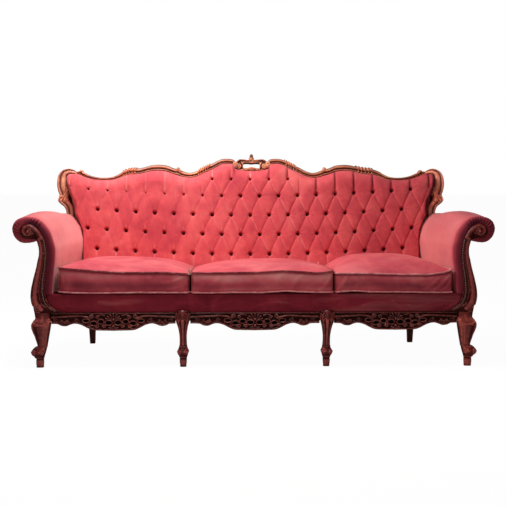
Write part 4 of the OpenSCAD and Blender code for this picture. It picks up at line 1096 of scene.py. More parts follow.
def plan(u, v, left, right, inset=0.0, corners=(11.0, 11.0)):
    """Rounded four-sided plan: (u, v) in [-1, 1]^2, corners pulled in by c |u|^12 |v|^12, with its own
    c at the left and right, and the sides pulled in by a (1 - u^2) between the corners."""
    pull = np.where(u < 0, *corners) * np.abs(u) ** 12 * np.abs(v) ** 12
    fy = (v + 1) / 2
    waist = 5.5 * (1 - u ** 2) * (1 - fy) ** 6 + 4.0 * (1 - fy) ** 10
    y = CUSHION_Y[0] + inset + (CUSHION_Y[1] - CUSHION_Y[0] - 2 * inset) * fy - np.sign(v) * pull + waist
    lx = left[0] + (left[1] - left[0]) * fy + inset
    rx = right[0] + (right[1] - right[0]) * fy - inset
    tuck = 2.5 * (1 - v ** 2) * u ** 9
    return lx + (rx - lx) * (u + 1) / 2 - np.sign(u) * pull - tuck, y


def square_rim(n):
    """Corner numbers round the edge of an n by n grid, in order."""
    run, far = np.arange(n - 1), np.full(n - 1, n - 1)
    return np.concatenate([run, far, far - run, 0 * run]) * n + np.concatenate([0 * run, run, far, far - run])


print("cushions are", CUSHION_Y[1] - CUSHION_Y[0], "mm deep")

# %% [markdown]
# ## Stuffing
# The sewn cover is inflated as cloth with its seams held, so the panels crown and pucker as stuffed
# velvet does. The cloth may move only 12 mm, which keeps the cushions clear of each other.

# %% Stuffing
def puff(obj, held, cap=0.012, frames=18):
    """Inflates a closed mesh as cloth, with the points in `held` kept still and no point moved
    further than cap."""
    count = len(obj.data.vertices)
    before = np.empty(count * 3)
    obj.data.vertices.foreach_get("co", before)
    pins = obj.vertex_groups.new(name="seams")
    pins.add([int(k) for k in held], 1.0, "REPLACE")
    mod = obj.modifiers.new("stuffing", "CLOTH")
    mod.settings.vertex_group_mass = "seams"
    mod.settings.use_pressure = True
    mod.settings.uniform_pressure_force = 4
    mod.settings.effector_weights.gravity = 0
    mod.settings.quality = 4
    mod.point_cache.frame_start = 1
    mod.point_cache.frame_end = frames
    for f in range(1, frames + 1):
        scene.frame_set(f)
    after = np.empty(count * 3)
    shape = obj.evaluated_get(bpy.context.evaluated_depsgraph_get()).to_mesh()
    shape.vertices.foreach_get("co", after)
    obj.modifiers.remove(mod)
    obj.vertex_groups.clear()
    scene.frame_set(1)
    step = (after - before).reshape(-1, 3)
    size = np.linalg.norm(step, axis=1, keepdims=True)
    step *= np.minimum(1, cap / np.maximum(size, 1e-9))
    obj.data.vertices.foreach_set("co", (before.reshape(-1, 3) + step).ravel())
    obj.data.update()
    print(obj.name, "moved at most", round(float(size.max()) * 1000, 1), "mm, kept", round(cap * 1000), "mm")


def press(obj, left, right):
    """Neighbours and the deck press the cushion flat: x stays between the two sides' lines and z
    above the deck."""
    co = np.empty(len(obj.data.vertices) * 3)
    obj.data.vertices.foreach_get("co", co)
    co = co.reshape(-1, 3)
    fy = (co[:, 1] * 1000 + MIDDLE_Y - CUSHION_Y[0]) / (CUSHION_Y[1] - CUSHION_Y[0])
    from_x, to_x = left[0] + (left[1] - left[0]) * fy - 0.6, right[0] + (right[1] - right[0]) * fy + 0.6
    co[:, 0] = np.clip(co[:, 0], from_x / 1000, to_x / 1000)
    co[:, 2] = np.maximum(co[:, 2], (BASE_Z + 0.3) / 1000)
    obj.data.vertices.foreach_set("co", co.ravel())


print("stuffing ready")

# %% [markdown]
# ## Piping
# A cord covered in velvet is sewn into every seam of a cushion: eight-sided rings follow the seam
# and close on themselves. The rings stand across the cord, between its side and up directions.

# %% Piping
def loop_tube(name, path, radius, body, material, sides=8):
    """Closed round piping along a closed path in metres."""
    t = np.roll(path, -1, 0) - np.roll(path, 1, 0)
    t /= np.linalg.norm(t, axis=1, keepdims=True)
    up = np.array([0.0, 0, 1])
    b = np.cross(t, up)
    b /= np.linalg.norm(b, axis=1, keepdims=True)
    n = np.cross(b, t)
    a = np.linspace(0, 2 * np.pi, sides, endpoint=False)[None, :, None]
    rings = path[:, None] + radius * (np.cos(a) * n[:, None] + np.sin(a) * b[:, None])
    return skin(name, rings, body, material, closed=True)


print("piping ready")

# %% [markdown]
# ## Painted light and wear on a cushion
# The pile is rubbed in patches on top, which grows darker towards the back. On the band, painted shade
# lies in its hollow, right under the top seam and over the bottom seam, and a painted highlight along
# its upper part and on its folds. The bottom panel is darker.

# %% Painted light and wear of a cushion
def cushion_wear_and_shade(px, py, h, girth, sewn, seed, face):
    """One number of wear and painted light for each point of the top, the bottom and the band: h is the
    share of the band's height, `girth` the way round it, and `face` makes a whole band paler or darker."""
    on_top = 0.22 * wrinkle(px, py * 1.5, seed + 9, 80.0, 5) + 0.06 - 0.1 * ease((py - 380) / 170)
    # Painted shade in the band's hollow, under the top seam and over the bottom seam; painted highlight along its upper
    # part and on the folds.
    on_side = face + 0.09 - 0.42 * bell(h - 0.36, 0.2) + 0.22 * bell(h - 0.80, 0.12)
    on_side = on_side + 0.26 * wrinkle(girth, h * 160, seed + 7, 34.0, 5) + 0.2 * np.clip(sewn / 4, 0, 1)
    on_side = on_side + 0.12 * np.exp(-(1 - h) / 0.12) - bell(1 - h, 0.085) - 0.5 * bell(h, 0.07)
    return np.concatenate([on_top.ravel(), np.full(on_top.size, -0.5), on_side.ravel()])


print("painted light and wear of cushions ready")

# %% [markdown]
# ## A box cushion
# The top crowns towards its middle, its seams pucker, and creases run down the front band. The seams
# are the rim of the square grid, so the top, the band and the bottom share their points there.

# %% Cushion
HALF_WIDE, HALF_DEEP = 320, 296
INSET = 1.5


def cushion(name, body, left, right, seed, front, bottom, rear, crown, peak, folds, corners=(11.0, 11.0),
            face=-0.16, cord=ROSE_PIPING_IN_PAINTED_SHADE, cells=72, band=15):
    """Box cushion. `front` and `bottom` give the heights of the two front seams from left to right;
    `rear` how far its rear corners sink; the crown rises as ((1 - |u|^3.6)(1 - |v|^2.8))^0.7."""
    n = cells + 1
    g = np.linspace(-1, 1, n)
    g = np.sign(g) * (1 - (1 - np.abs(g)) ** 1.12)
    u, v = np.meshgrid(g, g, indexing="ij")
    rear_seam = lambda u: 101 - rear[0] * ((1 - u) / 2) ** 5 - rear[1] * ((1 + u) / 2) ** 5
    seam = lambda u, v: np.interp(u, *zip(*front)) * (1 - v) / 2 + rear_seam(u) * (1 + v) / 2
    foot = lambda u, v: 1.5 + np.interp(u, *zip(*bottom)) * ((1 - v) / 2) ** 3
    px, py = plan(u, v, left, right, INSET, corners)
    us = u - peak * (1 - u ** 2)
    lift = ((1 - np.abs(us) ** 3.6) * (1 - np.abs(v) ** 2.8)).clip(0) ** 0.7
    from_side, from_end = (1 - np.abs(u)) * HALF_WIDE, (1 - np.abs(v)) * HALF_DEEP
    near = np.minimum(from_side, from_end)
    pucker = np.exp(-near / 20) * (1 - np.exp(-near / 3))
    along = np.where(from_side < from_end, py, px)
    top_z = seam(u, v) + crown * lift + 4.0 * wrinkle(px, py, seed, 130.0, 3) * lift ** 0.5
    top_z = top_z + 1.8 * pucker * np.sin(along / 5.1 + 2.5 * np.sin(along / 37))
    rim = square_rim(n)
    m = len(rim)
    h = np.linspace(0, 1, band + 2)[1:-1, None]
    bu, bv = u.ravel()[rim][None], v.ravel()[rim][None]
    rx, ry = plan(bu, bv, left, right, INSET, corners)
    girth = np.concatenate([[0], np.cumsum(np.hypot(*np.diff(np.stack([rx[0], ry[0]]), axis=1)))])[None]
    round_h = np.sin(np.pi * h ** 0.85)
    high, low = seam(bu, bv), foot(bu, bv)
    bz = low + (high - low) * h
    at_seams = lambda reach: np.exp(-h / reach) + np.exp(-(1 - h) / reach)
    bulge = 6.5 * round_h - 2.2 * at_seams(0.05) + 2.4 * wrinkle(girth, h * 90, seed + 1, 46.0, 3) * round_h
    gather = at_seams(0.16) * (1 - np.exp(-np.minimum(h, 1 - h) / 0.04))
    bulge = bulge + gather * np.sin(girth / 5.3 + 2.5 * np.sin(girth / 31))
    is_front = (bv < -0.9999) & (np.abs(bu) <= 1)
    wide = right[0] - left[0]
    creases = [(smooth([[x * wide, z * 100] for x, z in path], 10), w, d) for path, w, d in folds]
    sewn = ridges(joined(rx - left[0], bz), creases) * np.minimum(1, 5 * np.minimum(h, 1 - h))
    soft = 1 - (np.abs(bu) * np.abs(bv)) ** 8
    bx = rx + np.where(np.abs(bu) > 0.9999, np.sign(bu), 0) * bulge * soft * 0.25
    by = ry + np.where(np.abs(bv) > 0.9999, np.sign(bv), 0) * bulge * soft - np.where(is_front, sewn, 0)
    sides = joined(bx, by, bz)
    top = joined(px, py, top_z).reshape(-1, 3)
    base = joined(px, py, np.maximum(foot(u, v) * np.abs(v) ** 6, 0.6)).reshape(-1, 3)
    verts = np.concatenate([top, base, sides.reshape(-1, 3)])
    verts[:, 2] += BASE_Z
    quads = grid_faces(n, n)
    faces = [quads, quads[:, ::-1] + n * n]
    rows = [rim + n * n] + [2 * n * n + k * m + np.arange(m) for k in range(band)] + [rim]
    for a, b in zip(rows[:-1], rows[1:]):
        faces.append(joined(a, np.roll(a, -1), np.roll(b, -1), b))
    obj = mesh_piece(name, metres(verts), np.concatenate(faces), body, ROSE_CUSHION)
    outward(obj)
    set_attr(obj, "wear_and_shade", cushion_wear_and_shade(px, py, h, girth, sewn, seed, face))
    puff(obj, np.concatenate([rim, np.arange(n * n, 2 * n * n)]))
    press(obj, left, right)
    mod = obj.modifiers.new("smooth", "SUBSURF")
    mod.levels = mod.render_levels = 1
    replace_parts(obj, name.replace("seat_", ""))
    qx, qy = plan(bu[0], bv[0], left, right, -0.9, corners)
    sway = 0.8 * np.sin(girth[0] / 41 + seed) + 0.5 * np.sin(girth[0] / 13.7)
    # The top cord takes `cord`, by default the darker piping velvet that paints the seam's shade.
    for label, z, cover in (("top", high[0] + 0.5, cord), ("bottom", low[0] + 1.6, ROSE_PIPING)):
        path = joined(qx, qy - 0.8 * (bv[0] < 0), BASE_Z + z + sway * 0.6)
        loop_tube(name + "_piping_" + label, metres(path), 0.0040, body, cover)


print("cushion maker ready")

# %% [markdown]
# ## Three cushions
# The seat takes three cushions of slightly different widths. Each has its own tired shape: the two
# front seams are read from left to right, the rear corners sink, and the crown has moved to one
# side. A fold is a line on the front band, in shares of its width and height.

# %% Three cushions
LEFT_WIDE, MIDDLE_WIDE, GAP = 626, 678, 2
outer = [clear_x(CUSHION_Y[0], 5), clear_x(CUSHION_Y[1], 7)]
seam_left = -outer[0] + LEFT_WIDE
seam_right = seam_left + GAP + MIDDLE_WIDE
cushion("seat_cushion_left", "left_cushion", (-outer[0], -outer[1]), (seam_left, seam_left), 31,
        [(-1, 122), (-0.5, 110), (0, 99), (0.6, 101), (1, 92)],
        [(-1, 6), (-0.6, 1), (0.6, 3), (1, 1)], (6, 26), 39, -0.08,
        [(((0.80, 0.5), (0.90, 0.62), (0.985, 0.93)), 8, 3.5), (((0.84, 0.2), (0.92, 0.3), (0.99, 0.42)), 7, 3),
         (((0.93, 0.1), (0.97, 0.45), (0.99, 0.8)), 6, 3), (((0.02, 0.2), (0.05, 0.6), (0.03, 1.0)), 9, 3),
         (((0.1, 0.72), (0.4, 0.66), (0.7, 0.7)), 14, 1.8)], corners=(19.0, 11.0))
cushion("seat_cushion_middle", "middle_cushion", (seam_left + GAP, seam_left + GAP), (seam_right, seam_right), 47,
        [(-1, 99), (-0.7, 97), (-0.1, 99), (0.3, 106), (0.75, 97), (1, 104)],
        [(-1, 1), (0, 2), (0.3, 8), (0.6, 4), (1, 1)], (28, 22), 26, 0.18,
        [(((0.015, 0.2), (0.03, 0.6), (0.01, 0.95)), 8, 3), (((0.05, 0.25), (0.14, 0.4), (0.2, 0.75)), 12, 2.5),
         (((0.56, 0.15), (0.6, 0.5), (0.62, 0.95)), 16, 2.5), (((0.70, 0.15), (0.72, 0.5), (0.77, 0.85)), 13, 2.5),
         (((0.90, 0.15), (0.95, 0.5), (0.985, 0.95)), 10, 3), (((0.25, 0.22), (0.45, 0.2), (0.6, 0.34)), 10, 2)],
        face=0.17)
cushion("seat_cushion_right", "right_cushion", (seam_right + GAP, seam_right + GAP), tuple(outer), 63,
        [(-1, 93), (-0.4, 93), (0.15, 87), (0.6, 88), (0.85, 97), (1, 109)],
        [(-1, 2), (-0.7, 9), (-0.4, 4), (0.4, 1), (1, 0)], (26, 4), 60, -0.1,
        [(((0.82, 0.08), (0.90, 0.35), (0.975, 0.85)), 8, 4), (((0.76, 0.12), (0.83, 0.4), (0.88, 0.7)), 9, 3.2),
         (((0.89, 0.06), (0.955, 0.3), (0.985, 0.55)), 7, 3.5), (((0.03, 0.15), (0.08, 0.5), (0.1, 0.85)), 10, 3.2),
         (((0.17, 0.2), (0.2, 0.5), (0.16, 0.8)), 12, 2.5), (((0.3, 0.25), (0.5, 0.3), (0.7, 0.2)), 12, 2)],
        corners=(11.0, 2.0), cord=ROSE_PIPING)
print("cushions made")

# %% [markdown]
# ## Frayed corners
# Two corners of the piping have burst, and pale worn threads stand up there. Each thread is a thin
# closed tube. They fan out by the golden angle, 2.4 radians from one to the next, so no two lie
# alike.

# %% Frayed corners
GOLDEN = 2.399963


def thread_shape(path, radius):
    """A fine closed thread: five-sided rings of shrinking radius along a path in mm."""
    p = smooth(path, 5)
    r = radius * np.linspace(1, 0.35, len(p))[:, None]
    a = np.linspace(0, 2 * np.pi, 5, endpoint=False)[None]
    ring = joined(p[:, :1] + r * np.cos(a), p[:, 1:2] + r * np.sin(a), p[:, 2:])
    ends = [range(5)[::-1], range(len(p) * 5 - 5, len(p) * 5)]
    return metres(ring.reshape(-1, 3)), [*grid_faces(len(p), 5, False, True).tolist(), *ends]


def fray(name, x, y, z, body, spread, tall, count):
    """Worn threads that stand up from a burst corner of the piping."""
    shapes = []
    for k in range(count):
        a, b = GOLDEN * k, (k % 7) / 6
        dx, dy = spread * (0.35 + 0.65 * b) * math.cos(a), 0.6 * spread * math.sin(a)
        up = tall * (1.1 - 0.75 * b)
        shapes.append(thread_shape([[x + dx * 0.25, y + dy * 0.3, z - 3], [x + dx * 0.6, y + dy * 0.7, z + up * 0.6],
                                    [x + dx, y + dy, z + up - 6 * b]], 1.7))
    many(name, shapes, body, ROSE_THREAD)


fray("fray_left", seam_left - 3, CUSHION_Y[0] + 12, BASE_Z + 92, "left_cushion", 23.0, 28.0, 40)
fray("fray_middle", seam_right - 28, CUSHION_Y[1] - 60, BASE_Z + 84, "middle_cushion", 11.0, 18.0, 18)
print("two frayed corners")

# %% [markdown]
# ## Front border
# The velvet border runs under the cushions between the two facings. It hangs a little loose, so
# shallow swags lie across it, and its top turns back under the cushions.

# %% Front border
BORDER_LOW, BORDER_TOP = 263.2, 349.4
inner_edge = FACING_EDGE[:40]
bz = np.concatenate([np.linspace(BORDER_LOW, 346.5, 46), [348.2, 349.2, BORDER_TOP, BORDER_TOP]])[None, :]
bt = np.linspace(-1, 1, 460)[:, None]
reach = np.interp(bz, inner_edge[:, 1], inner_edge[:, 0]) - 1.2
border_x = bt * reach
fall = (bz - BORDER_LOW) / (BORDER_TOP - BORDER_LOW)
drapes = []
for k in range(15):
    x0 = -880 + 126 * k + 30 * math.sin(k * 2.3)
    swag = smooth([[x0, 290 + 22 * math.sin(k * 1.7)], [x0 + 60, 281 + 20 * math.sin(k * 1.9)],
                   [x0 + 150, 286 + 24 * math.sin(k * 2.9)]], 14)
    drapes.append((swag, (11, 15), (3.2, 1.4)))
ripple = 1.4 * wrinkle(border_x * 0.3, bz * 1.4, 12, 22.0, 4) + ridges(joined(border_x, bz), drapes)
ripple = ripple * np.sin(np.pi * np.clip(fall, 0, 1))
border_y = -31.0 - 2.0 * np.sin(np.pi * np.clip(fall, 0, 1)) ** 0.6 - ripple
border_y = border_y + np.array([0.0] * 46 + [1.5, 5, 11, 18])[None]
border_y = np.minimum(border_y, -12)
border_front = metres(joined(border_x, border_y, bz))
border_back = metres(joined(border_x, BOARD_BACK, bz))
BORDER = panel("seat_border", border_front, border_back, "frame", ROSE_BORDER)
# Painted highlight on the swags' crests; noise and a paler right side besides.
shade = 0.07 * np.clip(ripple / 4, -1, 1) + 0.12 * wrinkle(border_x * 0.25, bz * 1.6, 14, 18.0, 4)
shade = shade - 0.07 + 0.12 * ease((border_x - 150) / 350)
set_attr(BORDER, "wear_and_shade", np.concatenate([shade.ravel(), np.zeros(shade.size)]))
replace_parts(BORDER, "front_border")
print("front border with", len(drapes), "swags")

# %% [markdown]
# ## Deck cover
# The cushions lie on a flat padded deck in the border's velvet. It fills the seat between the arms
# and follows their splay.

# %% Deck cover
dy = np.linspace(-8, 611, 60)[:, None]
dx = np.linspace(-1, 1, 120)[None, :] * (SEAT_HALF - 3 - np.maximum(dy, 0) * math.tan(SPLAY))
dz = DECK_TOP - 0.7 + 0.5 * wrinkle(dx, dy + 0 * dx, 8, 90.0, 3) - 3 * (np.abs(dx) > 930)
deck_front = metres(joined(dx, dy, np.minimum(dz, DECK_TOP - 0.2)))
deck_back = metres(joined(dx, dy, 336.2))
DECK = panel("deck_cover", deck_front, deck_back, "frame", ROSE_DECK)
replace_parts(DECK, "seat_deck")
print("deck covered")

# %% [markdown]
# ## Outside covers
# Plain velvet closes the outside of the arms and the back, and black lining the bottom. Each
# is one sheet tacked along its edges and lies over the frame, so it is stretched cloth.

# %% Outside covers
def thin_sheet(name, grid, node, material):
    """Stretched cloth from a grid in metres, 1.8 mm thick, in place of a CAD node."""
    nu, nv, _ = grid.shape
    obj = mesh_piece(name, grid.reshape(-1, 3), grid_faces(nu, nv), "frame", material)
    mod = obj.modifiers.new("thickness", "SOLIDIFY")
    mod.thickness = 0.0018
    mod.offset = 0
    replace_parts(obj, node)


OUTSIDE = smooth([(1011, 600), (1007.4, 564.7), (1007.4, 536.2), (1014, 507.8), (1024, 465.1), (1036, 420.9),
                  (1046.5, 375.1), (1049.6, 334), (1046, 290), (1039, 250), (1036, 224)], 4)
line = even(beside(OUTSIDE, 1.4), 70)[None]
for side, label in SIDES:
    ay = np.linspace(0, 1, 70)[:, None] * (arm_end(line[..., 1]) + 8) - 8
    p = splay(line[..., 0] + 0 * ay, ay, line[..., 1] + 0 * ay)
    p[..., 0] += 0.7 * wrinkle(ay, line[..., 1], 9, 110.0, 3)
    p[..., 0] *= side
    thin_sheet("outside_arm_cover_" + label, metres(p), "outside_arm_" + label, ROSE)
ou = np.linspace(-1, 1, 180)[:, None] * 948
ov = np.linspace(0, 1, 62)[None, :]
os_ = 7 + (crest_under(ou) - 1 - 7) * ov
back_t = 29.6 + 0.5 * wrinkle(ou + 0 * os_, os_, 10, 140.0, 3)
thin_sheet("outside_back_cover", metres(lean(ou + 0 * os_, back_t, os_)), "outside_back",
           ROSE)
cy = np.linspace(-2, 613, 44)[:, None]
cx = np.linspace(-1, 1, 110)[None, :] * (981 - np.maximum(cy, 0) * math.tan(SPLAY))
cz = 218.7 - 0.35 + 0.3 * wrinkle(cx, cy + 0 * cx, 13, 120.0, 3)
thin_sheet("dust_cover_cloth", metres(joined(cx, cy, cz)), "dust_cover",
           LINING)
print("covers made")

# %% [markdown]
# ## Grids for carved boards
# A carved board needs a flat grid that fits its outline. A long part such as a stem is filled in
# between two paired edges. A round part is a square grid bent to a disc.

# %% Grids for carved boards
def between(pairs, n, nv):
    """Grid between two paired edges: columns 0 and 1 of the pairs are one edge, 2 and 3 the other."""
    p = smooth(pairs, n)
    t = np.linspace(0, 1, nv)[None, :, None]
    return p[:, None, :2] * (1 - t) + p[:, None, 2:] * t


def to_edge(flat, curve):
    """Distance from flat points to a drawn curve."""
    p = np.asarray(flat, np.float32)
    c = even(curve, 500).astype(np.float32)
    parts = np.array_split(p.reshape(-1, 2), p.size // 16000 + 1)
    return np.concatenate([np.linalg.norm(q[:, None] - c[None], axis=2).min(1) for q in parts]).reshape(p.shape[:-1])


def rounded(d, r):
    """Quarter-round edge: 0 at the edge, 1 from the distance r on."""
    return np.sqrt(np.clip(1 - (1 - np.clip(d / r, 0, 1)) ** 2, 0, 1))


def disc(centre, radius, n):
    """Square grid bent to a disc: equal squares become equal rings, with no pole and no seam."""
    g = np.linspace(-1, 1, n)
    u, v = np.meshgrid(g, g, indexing="ij")
    wide = np.abs(u) > np.abs(v)
    r = np.where(wide, u, v)
    safe = np.where(r == 0, 1, r)
    a = np.where(wide, np.pi / 4 * v / safe, np.pi / 2 - np.pi / 4 * u / safe)
    x, z = r * np.cos(a), r * np.sin(a)
    reach = radius(np.arctan2(z, x))
    return joined(centre[0] + x * reach, centre[1] + z * reach)


print("grids for boards ready")

# %% [markdown]
# ## Outline of a facing
# Each facing is a carved board: a stem that swells towards the seat, and a volute on top. The
# volute's outline is kept as its distance from the eye at each angle.

# %% Facing outline
STEM = np.array([
    (877, 262.8, 1024, 263), (900, 266.5, 1032, 272), (922, 272, 1031, 283), (950, 290, 1037, 292),
    (972, 318, 1044, 301), (983, 365.6, 1050, 334), (982, 397, 1046.5, 375), (979, 435, 1036, 421),
    (973, 479, 1024, 465), (969.6, 519, 1014, 508), (971, 561.5, 1007.5, 536), (977, 598, 1008, 568),
    (985, 619, 1017, 606)], float)
EYE = np.array([1057.0, 645.0])
round_part = FACING_EDGE[FACING_EDGE[:, 1] > 605.9]
round_angle = np.unwrap(np.arctan2(*(round_part - EYE).T[::-1]))
round_order = np.argsort(np.mod(round_angle, 2 * np.pi))
ROUND = (np.mod(round_angle, 2 * np.pi)[round_order], np.hypot(*(round_part - EYE).T)[round_order])


def volute_reach(a):
    """Distance from the volute's eye to its outline at the angle a."""
    return np.interp(np.mod(a, 2 * np.pi), *ROUND, period=2 * np.pi)


print("stem of", len(STEM), "pairs of points, volute of", len(round_part), "points")

# %% [markdown]
# ## Lines carved on a facing
# A broad roll runs up the stem between thin reeds and winds into the volute's eye. Rays fill its
# last turn, small leaves lie along the stem, and a scroll ends it at the apron. After each line
# come its half-width and height in millimetres; a pair tapers from the first to the second.

# %% Facing lines
def scroll(share0, share1, turns, start=212.0, n=150):
    """Spiral inside the volute: radius = share x reach, easing from the outline to a round one."""
    t = np.linspace(0, 1, n)
    a = math.radians(start) - 2 * np.pi * turns * t
    loose = ease(np.clip(t * turns / 0.4, 0, 1))
    reach = volute_reach(a) * (1 - loose) + 37 * loose
    r = reach * (share0 + (share1 - share0) * t)
    return joined(EYE[0] + r * np.cos(a), EYE[1] + r * np.sin(a))


def stem_line(f, a=0, b=None):
    """A line down the stem, at the share f of the way from its inner to its outer edge."""
    p = smooth(STEM, 12)[a:b]
    return p[:, :2] * (1 - f) + p[:, 2:] * f


FACING_LINES = [
    (stem_line(0.955, 18), 3.2, 5.5), (stem_line(0.70, 26), (13, 8), (8.6, 8)),
    (stem_line(0.40, 40), (3.0, 2.6), 5.5), (stem_line(0.03, 6), 2.4, 4.5), (stem_line(0.27, 20), 1.6, 3.5),
    (stem_line(0.09, 20), 1.6, 3.5), (scroll(0.83, 0.30, 1.3), (8.5, 5.0), (8.4, 7)),
    (scroll(0.97, 0.80, 0.95), 2.4, 4.5), (scroll(0.60, 0.12, 1.15, 205), (2.6, 3.0), (5.5, 6)),
    (EYE[None], 8.5, 10)]
q = np.linspace(0, 1, 10)[:, None]
for k in range(7):
    a = math.radians(250 - 26 * k) - 0.9 * q
    FACING_LINES.append((EYE + (12 + 17 * q) * np.hstack([np.cos(a), np.sin(a)]), (3.4, 2.6), (5.5, 7.5)))
for k in range(6):
    base = stem_line(0.52)[64 + 7 * k]
    FACING_LINES += leaf(base + [0, 12], base - [0, 6], 9 - k * 0.7, 3, 1.9, 6.5)
FACING_LINES += leaf((1031, 352), (1034, 304), 13, 5, 2.6, 8)
FACING_LINES += [(spiral((1029, 297), 13, 3, 1.2, -1.3, 60), (3.6, 3.0), (8.5, 7)), ([[1029.0, 297.0]], 4.5, 9.5),
                 ([[1040, 282], [1030, 276], [1016, 276], [1004, 284], [997, 298]], (3.5, 2.5), (8, 5))]
FACING_LINES += [(np.linspace([1012, 264], [1040, 264], 20), 9.0, 7.0)]
FACING_LINES += [([[1006 - 20 * k, 300 - 5.5 * k], [988 - 19 * k, 282 - 3.2 * k]], (4.5, 3), (6, 3)) for k in range(5)]
FACING_LINES += [(smooth([[905, 269.5], [940, 281], [966, 304], [978, 340]], 8), 3, 5)]
print("facing carved with", len(FACING_LINES), "lines")

# %% [markdown]
# ## Carved arm facings
# Stem and volute take their height from the same drawn lines, so the carving runs on from one to
# the other. A row of small metal beads trims the stem's inner side.

# %% Arm facings
FACING_Y = -39.0


def carved(name, flat, base, back, lines, edge, material, depth=9.3, node=None, flip=1, place=None, mask=None,
           radius=5.0, deep=0.35, floor=0.06):
    """Carved board from a flat grid: its face stands at base, minus the carving and the rounded rim."""
    high = ridges(flat, lines)
    high = high + 1.5 * wrinkle(flat[..., 0], flat[..., 1], 77, 4.0, 2) * (high > 0.6)
    rim = rounded(to_edge(flat, edge), radius) if edge is not None else np.ones(flat.shape[:2])
    y = base - (depth * deep + np.clip(high, 0, 10) / 10 * depth * (1 - deep)) * rim
    place = place or joined
    x = flip * flat[..., 0]
    front = metres(place(x, y, flat[..., 1]))
    rear = metres(place(x, back + 0 * x, flat[..., 1]))
    # Relief number: proud wood rubbed pale with a painted highlight, the ground and the rounded rim darker as painted
    # shade.
    tone = np.maximum(np.clip(high / PROUD, 0, 1) ** 1.6 * (0.5 + 0.5 * rim), floor)
    obj = panel(name, front, rear, "frame", material, tone, mask)
    if node:
        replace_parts(obj, node)


stem_grid = between(STEM, 22, 40)
STEM_EDGE = FACING_EDGE[(FACING_EDGE[:, 1] > 275) | (FACING_EDGE[:, 0] < 1008)]
volute_grid = disc(EYE, volute_reach, 96)
for side, label in SIDES:
    carved("carved_stem_" + label, stem_grid, FACING_Y, BOARD_BACK, FACING_LINES, STEM_EDGE, CARVED_Z,
           node="arm_facing_" + label, flip=side)
    carved("carved_volute_" + label, volute_grid, FACING_Y, BOARD_BACK, FACING_LINES, round_part, CARVED_Z,
           depth=13.5, flip=side, deep=0.25)
beads = even(stem_line(0.18, 22, 140), 46)
for side, label in SIDES:
    shapes = [dome_shape(metres([side * x, -43.4, z]), np.array([0, -1.0, 0]), np.array([1.0, 0, 0]),
                         0.0029, 0.0026, 10, 3) for x, z in beads]
    many("bead_trim_" + label, shapes, "frame", BEAD)
print("facings carved, with", 2 * len(beads), "beads")

# %% [markdown]
# ## Drawing of an apron
# Three aprons hang under the border, one for each bay between the legs. Each has a shell in the
# middle between pierced scrolls, two cusps and two small leaf pendants. Only the right half is
# drawn, as offsets from the middle and the apron's top, and then mirrored.

# %% Apron drawing
PIERCINGS = [(22, -47, 13, 8), (58, -42, 11, 7), (92, -50, 12, 7), (128, -38, 13, 5)]


def bay_edge(half):
    """Lower edge of half an apron, from its middle to the leg."""
    return smooth([[0, 86], [60, 85], [96, 83], [120, 74], [150, 59], [178, 52], [200, 56], [222, 64], [244, 62],
                   [262, 54], [half, 53]], 6) * [1, -1]


def both_sides(lines):
    """The lines and their mirror images."""
    return lines + [(np.asarray(c) * [-1, 1], w, h) for c, w, h in lines]


def bay_lines(half):
    """All carving of one apron: rims, scrolls round each piercing, leaves and the shell's ribs."""
    low = bay_edge(half)
    lines = [(low + [0, 4.5], 4.2, 7.5), (low[low[:, 0] > 96] + [0, 12], 2.2, 3.5)]
    lines += [([[0, -3.0], [half, -3.0]], 3.2, 6.0)]
    long_rim = smooth([[half, -22], [262, -20], [230, -18], [196, -17], [165, -15], [138, -17], [118, -23],
                       [106, -27]], 8)
    lines += [(even(long_rim, 120), (5.5, 4.5), (6, 7.5)), (spiral((101, -18), 10, 2.5, -0.8, 1.3, 60), (3.4, 3), 8)]
    for cx, cz, rx, rz in PIERCINGS:
        a = np.linspace(0, 2 * np.pi, 60)
        lines.append((joined(cx + (rx + 4) * np.cos(a), cz + (rz + 4) * np.sin(a)), 3.4, 7.5))
    lines += [(spiral((76, -62), 10, 2.5, 2.6, -1.3, 50), 3.3, 8.5),
              (spiral((44, -64), 9, 2.5, 0.4, 1.3, 50), 3.2, 8.5),
              (spiral((112, -60), 9, 2.5, 1.6, 1.2, 50), 3.0, 8), (spiral((74, -22), 9, 2.5, 3.6, 1.2, 50), 3.0, 7.5)]
    lines += [(smooth([[150, -50], [134, -56], [122, -66], [104, -74], [84, -76]], 6), (2.5, 3.5), (5, 8)),
              (smooth([[40, -14], [56, -10], [70, -12], [84, -20]], 6), 3, 7)]
    lines += leaf((214, -34), (222, -60), 15, 4, 2.6, 8) + leaf((244, -34), (238, -58), 12, 3, 2.4, 7)
    lines += leaf((178, -24), (168, -48), 11, 3, 2.4, 6) + leaf((280, -26), (262, -48), 12, 3, 2.4, 5)
    for k in range(4):
        a = math.radians(-90 + 24 * k)
        q = np.linspace(0, 1, 14)[:, None]
        lines.append((np.hstack([(7 + 15 * q) * np.cos(a), -64 + (7 + 15 * q) * np.sin(a)]), (2.2, 3.2), (5, 9.5)))
        a = math.radians(90 - 27 * k)
        lines.append((np.hstack([(6 + 22 * q) * np.cos(a) * 1.25, -32 + (6 + 20 * q) * np.sin(a)]), (2.2, 3.4), (4, 9)))
    lines += bead_row([[20, -6.5], [46, -6.5]], 6.5, 2.4, 8)
    return both_sides(lines) + [([[0.0, -62.0]], 6.5, 10), ([[0.0, -33.0]], 5.5, 9)]


print("apron drawn with", len(bay_lines(290.0)), "lines and", 2 * len(PIERCINGS), "piercings")

# %% [markdown]
# ## Carved and pierced aprons
# The openings are real holes: the grid's nearest points are drawn onto each oval and the cells
# inside it are left out. A dark strip of cloth closes them from behind.

